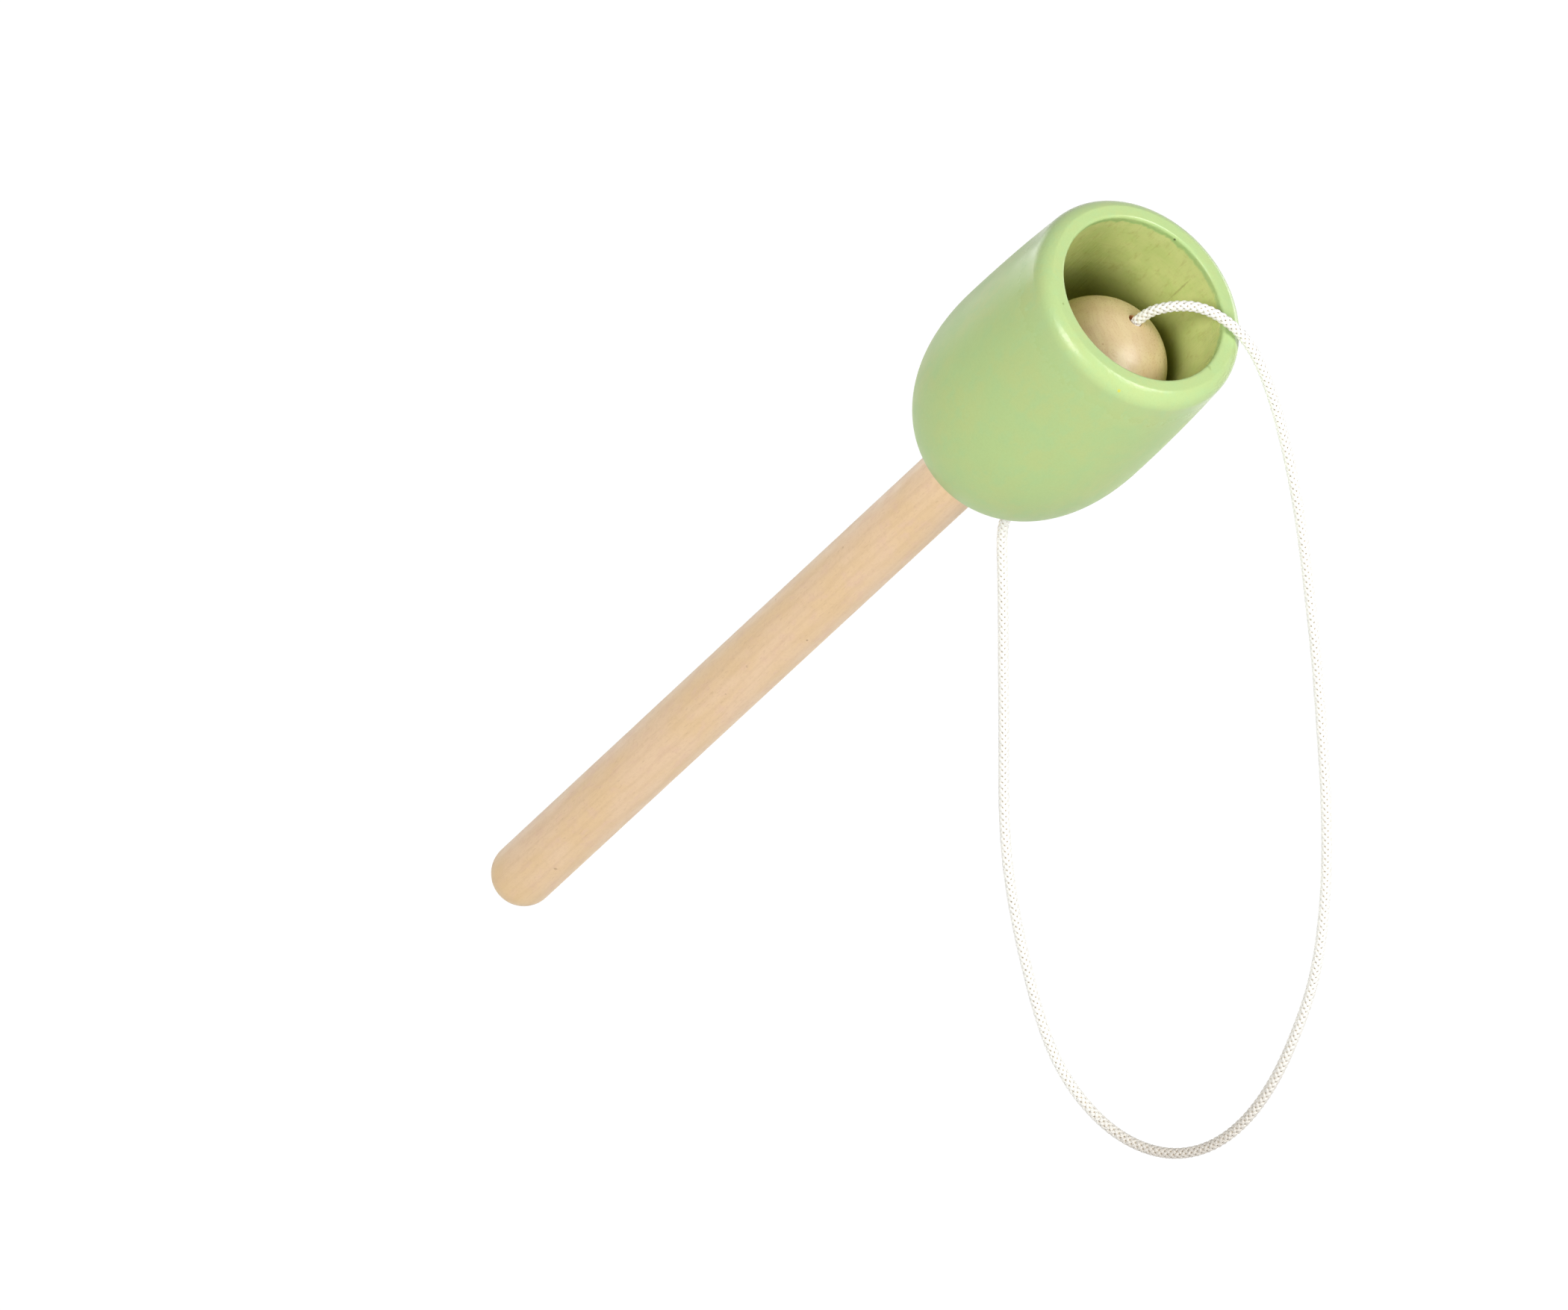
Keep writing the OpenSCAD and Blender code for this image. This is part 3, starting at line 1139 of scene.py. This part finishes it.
@dataclass
class DowelHandle:
    """The handle: a dowel with a rounded tip, and a tenon that is glued into the cup."""

    radius: float = 6.0
    tip_at: float = -230.0
    shoulder_at: float = -63.4
    shoulder_len: float = 0.8
    shoulder_ease: float = 0.3
    shoulder_turn: float = 60.0
    tenon_r: float = 5.8
    tenon_end: float = -38.5
    tenon_ease: float = 0.4
    spans: int = 24
    tip_steps: int = 28
    shoulder_steps: int = 5
    sides: int = 96
    finish: DowelWood = DowelWood()

    def outline(self) -> Outline:
        """Draws the dowel.

        Returns:
            Its outline, from the pole of its tip to the middle of the tenon's end.
        """
        tip_centre = (0.0, self.tip_at + self.radius)
        shoulder_centre = (self.radius - self.shoulder_ease, self.shoulder_at - self.shoulder_ease)
        straight = shoulder_centre[1] - tip_centre[1]
        steps = range(1, self.spans + 1)
        return [
            (0.0, self.tip_at),
            *arc(tip_centre, self.radius, -90, 0, self.tip_steps)[1:],
            *[(self.radius, tip_centre[1] + straight * step / self.spans) for step in steps],
            *arc(shoulder_centre, self.shoulder_ease, 0, self.shoulder_turn, self.shoulder_steps)[1:],
            (self.tenon_r, self.shoulder_at + self.shoulder_len),
            (self.tenon_r, self.tenon_end - self.tenon_ease),
            (self.tenon_r - self.tenon_ease, self.tenon_end),
            (0.0, self.tenon_end),
        ]

    def build(self) -> Piece:
        """Makes the dowel and gives it its finish.

        Returns:
            The handle, riding on the body that it shares with the cup.
        """
        points, faces = turn(self.outline(), self.sides)
        handle = make_piece("dowel_handle", CUP_BENCH.place(points), faces)
        note_bench(handle, CUP_BENCH)
        dress(handle, self.finish.material(self))
        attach(handle, "cup_and_handle")
        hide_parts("handle")
        return handle


@dataclass
class DrilledBall:
    """The ball: turned round its own drilled hole, with a pocket behind for the cord's knot."""

    radius: float = 12.7
    hole_r: float = 1.3
    hole_ring: float = 4.0
    pocket_r: float = 3.2
    pocket_at: float = -7.2
    ease: float = 0.24
    hole_edge: tuple[tuple[float, float], ...] = ((0.084, 0.02), (0.0192, -0.10), (0.0, -ease))
    pocket_edge: tuple[tuple[float, float], ...] = ((0.0, ease), (0.024, 0.10), (0.108, -0.02))
    steps: int = 72
    sides: int = 160
    finish: BallWood = BallWood()

    def outline(self) -> Outline:
        """Draws the ball, up its outside and back down the drilled hole.

        Returns:
            Its closed outline.
        """
        low = -math.degrees(math.acos((self.pocket_r + self.ease) / self.radius))
        high = math.degrees(math.acos((self.hole_r + self.ease) / self.radius))
        outside = arc((0.0, 0.0), self.radius, low, high, self.steps)
        top = outside[-1][1]
        bottom = outside[0][1]
        return [
            *outside,
            *[(self.hole_r + out, top + up) for out, up in self.hole_edge],
            (self.hole_r, self.hole_ring),
            (self.hole_r, self.pocket_at),
            (self.pocket_r, self.pocket_at),
            *[(self.pocket_r + out, bottom + up) for out, up in self.pocket_edge],
        ]

    def build(self) -> Piece:
        """Turns the ball and gives it its finish.

        Returns:
            The ball, riding on its own body.
        """
        points, faces = turn(self.outline(), self.sides, closed=True)
        ball = make_piece("drilled_ball", BALL_BENCH.place(points), faces)
        note_bench(ball, BALL_BENCH)
        dress(ball, self.finish.material(self))
        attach(ball, "ball")
        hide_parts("ball")
        return ball


def smooth_run(points: np.ndarray, per_span: int) -> np.ndarray:
    """A smooth curve near its route points, which runs through the first and the last one.

    Args:
        points: The route points, one to a row.
        per_span: How many curve points each span gives.

    Returns:
        The curve's points.
    """
    first = 2 * points[0] - points[1]
    last = 2 * points[-1] - points[-2]
    around = np.vstack([first, points, last])
    shares = np.arange(per_span)[:, None] / per_span
    weights = (
        (1 - shares) ** 3 / 6,
        (3 * shares**3 - 6 * shares**2 + 4) / 6,
        (-3 * shares**3 + 3 * shares**2 + 3 * shares + 1) / 6,
        shares**3 / 6,
    )
    spans = []
    for start in range(len(points) - 1):
        spans.append(sum(weights[k] * around[start + k] for k in range(4)))
    return np.vstack([*spans, points[-1:]])


class Centreline:
    """The cord's middle line, with its length so far and two square directions at each point."""

    least_step: float = 1e-9

    def __init__(self, points: np.ndarray, spacing: float) -> None:
        """Spaces the line evenly and carries the two directions along it without twist.

        Args:
            points: The line's points in millimetres in the toy's frame.
            spacing: The distance between the points that are kept.
        """
        steps = np.linalg.norm(np.diff(points, axis=0), axis=1)
        apart = steps > self.least_step
        points = points[np.concatenate([[True], apart])]
        run = np.concatenate([[0.0], np.cumsum(steps[apart])])
        self.length = float(run[-1])
        self.runs = np.linspace(0.0, self.length, int(self.length / spacing) + 1)
        self.points = np.column_stack([np.interp(self.runs, run, points[:, k]) for k in range(3)])
        tangents = unit(np.gradient(self.points, axis=0))
        self.out = np.empty_like(self.points)
        self.out[0] = unit(np.cross(tangents[0], SIDEWAYS))
        for k in range(1, len(self.points)):
            before = self.out[k - 1]
            self.out[k] = unit(before - tangents[k] * (before @ tangents[k]))
        self.beside = np.cross(tangents, self.out)

    def at(self, runs: np.ndarray) -> tuple[np.ndarray, np.ndarray, np.ndarray]:
        """Reads the line.

        Args:
            runs: Lengths along the line.

        Returns:
            The line's points and its two square directions at these lengths.
        """
        found = []
        for values in (self.points, self.out, self.beside):
            found.append(np.column_stack([np.interp(runs, self.runs, values[:, k]) for k in range(3)]))
        return found[0], unit(found[1]), unit(found[2])

    def nearest(self, place: np.ndarray) -> float:
        """The length at which the line passes closest to a place."""
        return float(self.runs[np.argmin(np.linalg.norm(self.points - place, axis=1))])


class Lay(Enum):
    """The way a strand winds round the cord, and the side of the pattern on which it starts on top."""

    RIGHT = 1
    LEFT = -1


class Tubes:
    """Open tubes gathered into one piece, with each point's lift in the braid and its place on the yarn."""

    crease: float = 80.0

    def __init__(self) -> None:
        """Starts without a tube."""
        self.points: list[np.ndarray] = []
        self.faces: list[np.ndarray] = []
        self.lifts: list[np.ndarray] = []
        self.yarns: list[np.ndarray] = []

    def add(self, rings: np.ndarray, lifts: np.ndarray, yarns: np.ndarray, flip: bool) -> None:
        """Adds a tube.

        Args:
            rings: The points of its rings in millimetres in the toy's frame.
            lifts: How high each point stands in the braid.
            yarns: Each point's place on the yarn: across it, along the cord, and the strand's number.
            flip: Whether its faces run the other way round.
        """
        count, sides = rings.shape[:2]
        first = sum(len(points) for points in self.points)
        ring, side = np.meshgrid(np.arange(count - 1), np.arange(sides), indexing="ij")
        here = first + ring * sides + side
        beside = first + ring * sides + (side + 1) % sides
        corners = [here, beside, beside + sides, here + sides]
        if flip:
            corners.reverse()
        self.faces.append(np.stack(corners, axis=-1).reshape(-1, 4))
        self.points.append(rings.reshape(-1, 3))
        self.lifts.append(lifts.ravel())
        self.yarns.append(yarns.reshape(-1, 3))

    def piece(self, name: str) -> Piece:
        """Makes the piece.

        Args:
            name: Its name.

        Returns:
            The piece of all tubes, with its notes for the finish.
        """
        made = make_piece(name, MM * np.vstack(self.points), np.vstack(self.faces), self.crease)
        notes = made.data.attributes
        notes.new("lift", "FLOAT", "POINT").data.foreach_set("value", np.concatenate(self.lifts))
        notes.new("yarn", "FLOAT_VECTOR", "POINT").data.foreach_set("vector", np.vstack(self.yarns).ravel())
        return made


@dataclass
class BraidedCord:
    """The cord: eight plump strands braided round a core, from a knot in the cup to a knot in the ball."""

    # The braid
    radius: float = 1.0
    lead: float = 4.8
    strands_each_way: int = 4
    middle_r: float = 0.75
    dip: float = 0.075
    crossing: float = 2.2
    strand_w: float = 0.86
    strand_t: float = 0.36
    strand_pinch: float = 0.34
    # In shares of half the strand's width and half its thickness
    strand_section: tuple[tuple[float, float], ...] = (
        (-1.0, -0.5), (-0.76, 0.46), (-0.30, 0.95), (0.30, 0.95), (0.76, 0.46), (1.0, -0.5),
    )
    core_r: float = 0.62
    core_sides: int = 8
    core_step: float = 1.15
    ring_step: float = 0.17
    line_step: float = 0.1
    path_points: int = 331
    yarn_gap: float = 10.0
    lift_middle: float = 0.5
    lift_wave: float = 0.36
    lift_crown: float = 0.14
    lift_edge: float = -0.12
    # The knots
    knot_squeeze: float = 0.62
    squeeze_lead: float = 4.5
    squeeze_fade: float = 5.0
    knot_in: tuple[Place, ...] = (
        (0, 0, -3), (0, 0, -1.5), (-0.2, 0, 0), (-0.6, 0, 1), (-0.6, 0, 2.2), (-0.6, 0.1, 3.2),
        (-1.2, 0.7, 3.9),
    )
    knot_out: tuple[Place, ...] = (
        (0.9, 0.6, 0.7), (0.6, 0.1, 1.4), (0.6, 0, 2.4), (0.6, 0, 3.4), (0.6, -0.1, 4.3), (0.9, -0.2, 4.9),
    )
    knot_coil_r: float = 2.15
    knot_top: float = 3.35
    knot_drop: float = 2.1
    knot_start: float = 115.0
    knot_step: float = -60.0
    knot_steps: int = 11
    knot_fineness: int = 14
    # The route
    cup_exit: Place = (11.0, 3.0, -60.4)
    cup_pocket_floor: float = -38.4
    ball_hole: Place = (0.0, 0.0, 12.7)
    ball_hole_lean: Place = (0.25, 0.06, 0.0)
    ball_lead_lean: Place = (0.60, 0.12, 0.0)
    ball_pocket_floor: float = -7.2
    end_lead: float = 2.0
    loop_fineness: int = 60
    loop: tuple[Place, ...] = (
        (103, 3.1, 86), (102.8, 3.4, 80), (103.3, 3.3, 70), (103.3, 3.3, 58), (103.7, 3.2, 46),
        (103.6, 3.1, 34), (104.5, 3, 22), (106.1, 3.7, 11), (108.2, 4.8, 0.6), (111.1, 5.6, -9.5),
        (115.3, 6.7, -18.2), (121.3, 8.9, -25.1), (127.9, 11.3, -29.1), (135.4, 14, -30),
        (142.3, 17, -27.4), (148.5, 19.5, -21.4), (153.6, 21.7, -12.7), (157.5, 23.2, -2.5),
        (160.8, 24.7, 8.7), (162.6, 25, 20.9), (162.9, 25.4, 33), (162.7, 25.2, 45), (161.6, 25.1, 57),
        (160.7, 24.7, 70), (159.2, 24.3, 82), (158.3, 23.3, 94.1), (156.8, 22.3, 105.1),
        (155.2, 20.8, 115.1), (154.2, 18.7, 123.1), (152.6, 16.7, 129.6), (151, 14.1, 134.1),
        (148, 11.8, 136.9), (145.4, 9.2, 138.5), (142.5, 6.5, 138.5), (139.6, 4.4, 137.5),
    )
    finish: WhiteCord = WhiteCord()

    def knot_route(self) -> np.ndarray:
        """Lays a barrel knot that stands on the hole at the origin.

        Returns:
            Its route points, from its standing part to its tail.
        """
        route = list(self.knot_in)
        for step in range(self.knot_steps + 1):
            angle = math.radians(self.knot_start + self.knot_step * step)
            height = self.knot_top - self.knot_drop * step / self.knot_steps
            route.append((self.knot_coil_r * math.cos(angle), self.knot_coil_r * math.sin(angle), height))
        return np.array([*route, *self.knot_out])

    def whole_route(self) -> np.ndarray:
        """Lays the whole cord.

        Returns:
            Its middle line in millimetres in the toy's frame, from the cup's knot to the ball's knot.
        """
        knot = smooth_run(self.knot_route(), self.knot_fineness)
        down, side, exit_at = self.cup_exit
        cup_knot = CUP_BENCH.place(knot + np.array([down, side, self.cup_pocket_floor]))
        upside_down = np.array([1.0, 1.0, -1.0])
        ball_knot = BALL_BENCH.place(knot * upside_down + self.ball_pocket_floor * UP)
        hole = np.array(self.ball_hole)
        free = np.vstack(
            [
                CUP_BENCH.place(self.cup_exit) / MM,
                CUP_BENCH.place((down, side, exit_at - self.end_lead)) / MM,
                np.array(self.loop),
                BALL_BENCH.place(hole + self.ball_lead_lean + self.end_lead * UP) / MM,
                BALL_BENCH.place(hole + self.ball_hole_lean) / MM,
            ]
        )
        return np.vstack([cup_knot[::-1] / MM, smooth_run(free, self.loop_fineness), ball_knot / MM])

    def squeeze(self, runs: np.ndarray, ends: tuple[float, float]) -> np.ndarray:
        """Works out how thick the cord is, which is less where it is knotted.

        Args:
            runs: Lengths along the cord's middle line.
            ends: The lengths at which the free cord starts and ends.

        Returns:
            The thickness there, as a share of the full one.
        """
        cup_way = self.cup_pocket_floor - self.cup_exit[2] - self.squeeze_lead
        ball_way = self.ball_hole[2] - self.ball_pocket_floor - self.squeeze_lead
        knotted = np.maximum(ends[0] - runs - cup_way, runs - ends[1] - ball_way) / self.squeeze_fade
        return 1.0 - (1.0 - self.knot_squeeze) * eased(knotted)

    def strand(
        self, line: Centreline, runs: np.ndarray, thick: np.ndarray, lay: Lay, number: int
    ) -> tuple[np.ndarray, np.ndarray, np.ndarray]:
        """One strand of the braid.

        Args:
            line: The cord's middle line.
            runs: The lengths at which the strand has a ring.
            thick: The cord's thickness at those lengths, as a share of the full one.
            lay: The way the strand winds.
            number: Which of the strands of that lay it is.

        Returns:
            The points of the strand's rings, how high each stands in the braid, and its place on the yarn.
        """
        middle, out, beside = line.at(runs)
        start = 2 * math.pi * number / self.strands_each_way
        angle = start + lay.value * 2 * math.pi * runs / self.lead
        swing = np.cos(self.strands_each_way * angle)
        # Over one strand and under the next
        wave = lay.value * np.tanh(self.crossing * swing) / math.tanh(self.crossing)
        plump = thick * (1.0 - self.strand_pinch * (1.0 - swing**2))
        radius = thick * (self.middle_r + self.dip * wave)
        outward = np.cos(angle)[:, None] * out + np.sin(angle)[:, None] * beside
        path = middle + radius[:, None] * outward
        way = unit(np.gradient(path, axis=0))
        across = unit(np.cross(way, outward))
        up = np.cross(across, way)
        rings, lifts, yarns = [], [], []
        for wide, high in self.strand_section:
            sideways = (wide * self.strand_w / 2 * plump)[:, None] * across
            rings.append(path + sideways + (high * self.strand_t / 2 * thick)[:, None] * up)
            crown = self.lift_crown * high + self.lift_edge * abs(wide)
            lifts.append(self.lift_middle + self.lift_wave * wave + crown)
            strand = number + self.yarn_gap * lay.value
            yarns.append(np.column_stack([np.full(len(runs), wide), runs, np.full(len(runs), strand)]))
        return np.stack(rings, axis=1), np.stack(lifts, axis=1), np.stack(yarns, axis=1)

    def core(self, line: Centreline, runs: np.ndarray, thick: np.ndarray) -> np.ndarray:
        """Lays the core under the strands.

        Args:
            line: The cord's middle line.
            runs: The lengths at which the core has a ring.
            thick: The cord's thickness at those lengths, as a share of the full one.

        Returns:
            The points of the core's rings.
        """
        middle, out, beside = line.at(runs)
        rings = []
        for angle in np.linspace(0, 2 * math.pi, self.core_sides, endpoint=False):
            outward = math.cos(angle) * out + math.sin(angle) * beside
            rings.append(middle + (self.core_r * thick)[:, None] * outward)
        return np.stack(rings, axis=1)

    def braid(
        self, name: str, line: Centreline, start: float, end: float, ends: tuple[float, float]
    ) -> Piece:
        """Braids the cord between two lengths of its middle line.

        Args:
            name: The piece's name.
            line: The cord's middle line.
            start: The length at which the piece starts.
            end: The length at which it ends.
            ends: The lengths at which the free cord starts and ends.

        Returns:
            The piece, with its notes for the finish.
        """
        runs = np.linspace(start, end, max(2, round((end - start) / self.ring_step) + 1))
        thick = self.squeeze(runs, ends)
        tubes = Tubes()
        for lay in Lay:
            for number in range(self.strands_each_way):
                rings, lifts, yarns = self.strand(line, runs, thick, lay, number)
                yarns[..., 1] -= ends[0]
                tubes.add(rings, lifts, yarns, lay is Lay.LEFT)
        runs = np.linspace(start, end, max(2, round((end - start) / self.core_step) + 1))
        rings = self.core(line, runs, self.squeeze(runs, ends))
        tubes.add(rings, np.zeros(rings.shape[:2]), np.zeros(rings.shape), True)
        return tubes.piece(name)

    def build(self) -> tuple[Piece, Piece, Piece]:
        """Returns:
            The free cord, the knot in the cup and the knot in the ball.
        """
        line = Centreline(self.whole_route(), self.line_step)
        exit_place = CUP_BENCH.place(self.cup_exit)
        hole_place = BALL_BENCH.place(self.ball_hole)
        ends = (line.nearest(exit_place / MM), line.nearest(hole_place / MM))
        cord = self.braid("braided_cord", line, ends[0], ends[1], ends)
        cup_knot = self.braid("cup_stopper_knot", line, 0.0, ends[0], ends)
        ball_knot = self.braid("ball_stopper_knot", line, ends[1], line.length, ends)
        material = self.finish.material()
        for piece in (cord, cup_knot, ball_knot):
            dress(piece, material)
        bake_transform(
            cord, "cup_and_handle", "cord_end", start=(0.0872, 0.0174, 0.1046), end=(0.1207, 0.0241, 0.1449)
        )
        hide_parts("cord")
        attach(cup_knot, "cup_and_handle")
        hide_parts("cup_knot")
        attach(ball_knot, "cord_end")
        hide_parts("ball_knot")
        return cord, cup_knot, ball_knot


@dataclass(frozen=True)
class Softbox:
    """A soft studio lamp.

    Its direction from the toy is along the picture's right, its up and the way towards the camera. Its light
    is the level to which it lights a white surface.
    """

    name: str
    direction: Place
    distance: float
    size: float
    light: float


@dataclass
class Studio:
    """The camera at the photograph's angle, the lamps, the pale surroundings and the floor."""

    azimuth: float = 45.5
    elevation: float = 22.6
    distance: float = 4.5
    lens: float = 586.3
    sensor: float = 36.0
    clip: tuple[float, float] = (0.05, 200.0)
    aim_right: float = -63.5
    aim_up: float = -62.9
    floor_at: float = -0.3
    floor_reach: float = 40.0
    floor_grey: Colour = (0.84, 0.84, 0.83, 1.0)
    floor_pale: Colour = (0.86, 0.86, 0.86, 1.0)
    floor_cloud: Pattern = Pattern(3.0, detail=2.0, rough=0.5)
    floor_glow: float = 1.12
    floor_seen: float = 0.86
    sky: float = 0.11
    lamps: tuple[Softbox, ...] = (
        Softbox("key_softbox", (-0.33, 0.08, 0.94), 2.2, 0.80, 0.57),
        Softbox("side_softbox", (0.77, 0.21, 0.59), 2.2, 0.90, 0.56),
        Softbox("back_left_softbox", (-0.62, 0.45, -0.64), 2.4, 1.2, 0.12),
        Softbox("back_right_softbox", (0.70, 0.35, -0.62), 2.4, 1.2, 0.14),
    )

    def picture_axes(self) -> np.ndarray:
        """The picture's right, its up and the direction towards the camera, as rows."""
        down, right, back = Bench(CUP_BENCH.origin, self.elevation, self.azimuth - 90.0).axes()
        return np.array([right, -down, back])

    def hang(self, name: str, data: bpy.types.ID, offset: np.ndarray, back: np.ndarray) -> Piece:
        """Hangs a camera or a lamp near the toy.

        Args:
            name: Its name.
            data: The camera or the lamp.
            offset: Its place in metres from the middle of the cup's mouth.
            back: The direction that it looks away from.

        Returns:
            The object, linked to the scene.
        """
        right = unit(np.cross(UP, back))
        turned = Matrix(np.column_stack([right, np.cross(back, right), back]).tolist()).to_4x4()
        hung = bpy.data.objects.new(name, data)
        hung.matrix_world = Matrix.Translation(Vector(np.array(CUP_BENCH.origin) + offset)) @ turned
        bpy.context.scene.collection.objects.link(hung)
        return hung

    def set_camera(self) -> None:
        """Makes the camera."""
        right, up, back = self.picture_axes()
        lens = bpy.data.cameras.new("picture_camera")
        lens.lens = self.lens
        lens.sensor_width = self.sensor
        lens.clip_start, lens.clip_end = self.clip
        offset = MM * (self.aim_right * right + self.aim_up * up) + self.distance * back
        bpy.context.scene.camera = self.hang("picture_camera", lens, offset, back)

    def set_lamps(self) -> None:
        """Hangs the softboxes round the toy."""
        for box in self.lamps:
            lamp = bpy.data.lights.new(box.name, "AREA")
            lamp.shape = "SQUARE"
            lamp.size = box.size
            # A lamp of this power lights a white surface that faces it to the given level
            lamp.energy = 4 * math.pi * box.light * box.distance**2
            toward = unit(np.array(box.direction) @ self.picture_axes())
            self.hang(box.name, lamp, box.distance * toward, toward).visible_camera = False

    def set_surroundings(self) -> None:
        """Makes the surroundings: plain white where they are seen or mirrored, and soft light elsewhere."""
        nodes = FinishNodes(bpy.data.worlds.new("pale_studio"))
        ray = nodes.node("LightPath").outputs
        seen = nodes.most(ray["Is Camera Ray"], ray["Is Glossy Ray"], ray["Is Transmission Ray"])
        strength = nodes.rise(seen, Ramp(0.0, 1.0, self.sky, 1.0))
        background = nodes.fill("Background", Color=WHITE, Strength=strength)
        bpy.context.scene.world = nodes.end("World", background)

    def lay_floor(self) -> Piece:
        """Lays the plain pale floor, which is nearly white where it is seen, and clear from below.

        Returns:
            The floor, which is not part of the toy.
        """
        reach = self.floor_reach
        corners = np.array([[-reach, -reach], [reach, -reach], [reach, reach], [-reach, reach]])
        points = np.column_stack([corners, np.full(4, self.floor_at)])
        floor = make_piece("pale_floor", points, [[0, 1, 2, 3]])
        nodes = FinishNodes(bpy.data.materials.new("pale_floor_finish"))
        ray = nodes.node("LightPath").outputs
        seen = nodes.most(nodes.times(ray["Is Camera Ray"], self.floor_seen), ray["Is Glossy Ray"])
        cloud = nodes.noise(nodes.node("TexCoord").outputs["Object"], self.floor_cloud)
        matt = nodes.fill("BsdfDiffuse", Color=nodes.mix(cloud, self.floor_grey, self.floor_pale))
        glow = nodes.fill("Emission", Color=WHITE, Strength=self.floor_glow)
        lit = nodes.node("MixShader", seen, matt, glow).outputs[0]
        below = nodes.node("NewGeometry").outputs["Backfacing"]
        clear = nodes.node("BsdfTransparent").outputs[0]
        both = nodes.node("MixShader", below, lit, clear).outputs[0]
        floor.data.materials.append(nodes.end("Material", both))
        return floor


def main() -> None:
    """Builds the studio and the toy, piece by piece."""
    log.info("the frame has %d nodes", len(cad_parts))
    bpy.context.scene.view_settings.view_transform = "Standard"
    studio = Studio()
    studio.set_camera()
    for piece in BraidedCord().build():
        log.info("braided %s: %d faces", piece.name, len(piece.data.polygons))
    for maker in (TurnedCup(), DowelHandle(), DrilledBall()):
        piece = maker.build()
        log.info("made %s: %d faces", piece.name, len(piece.data.polygons))
    studio.set_surroundings()
    studio.set_lamps()
    studio.lay_floor()
    log.info("wrote the two boxes")


if __name__ == "__main__":
    logging.basicConfig(level=logging.INFO, format="%(name)s: %(message)s")
    main()
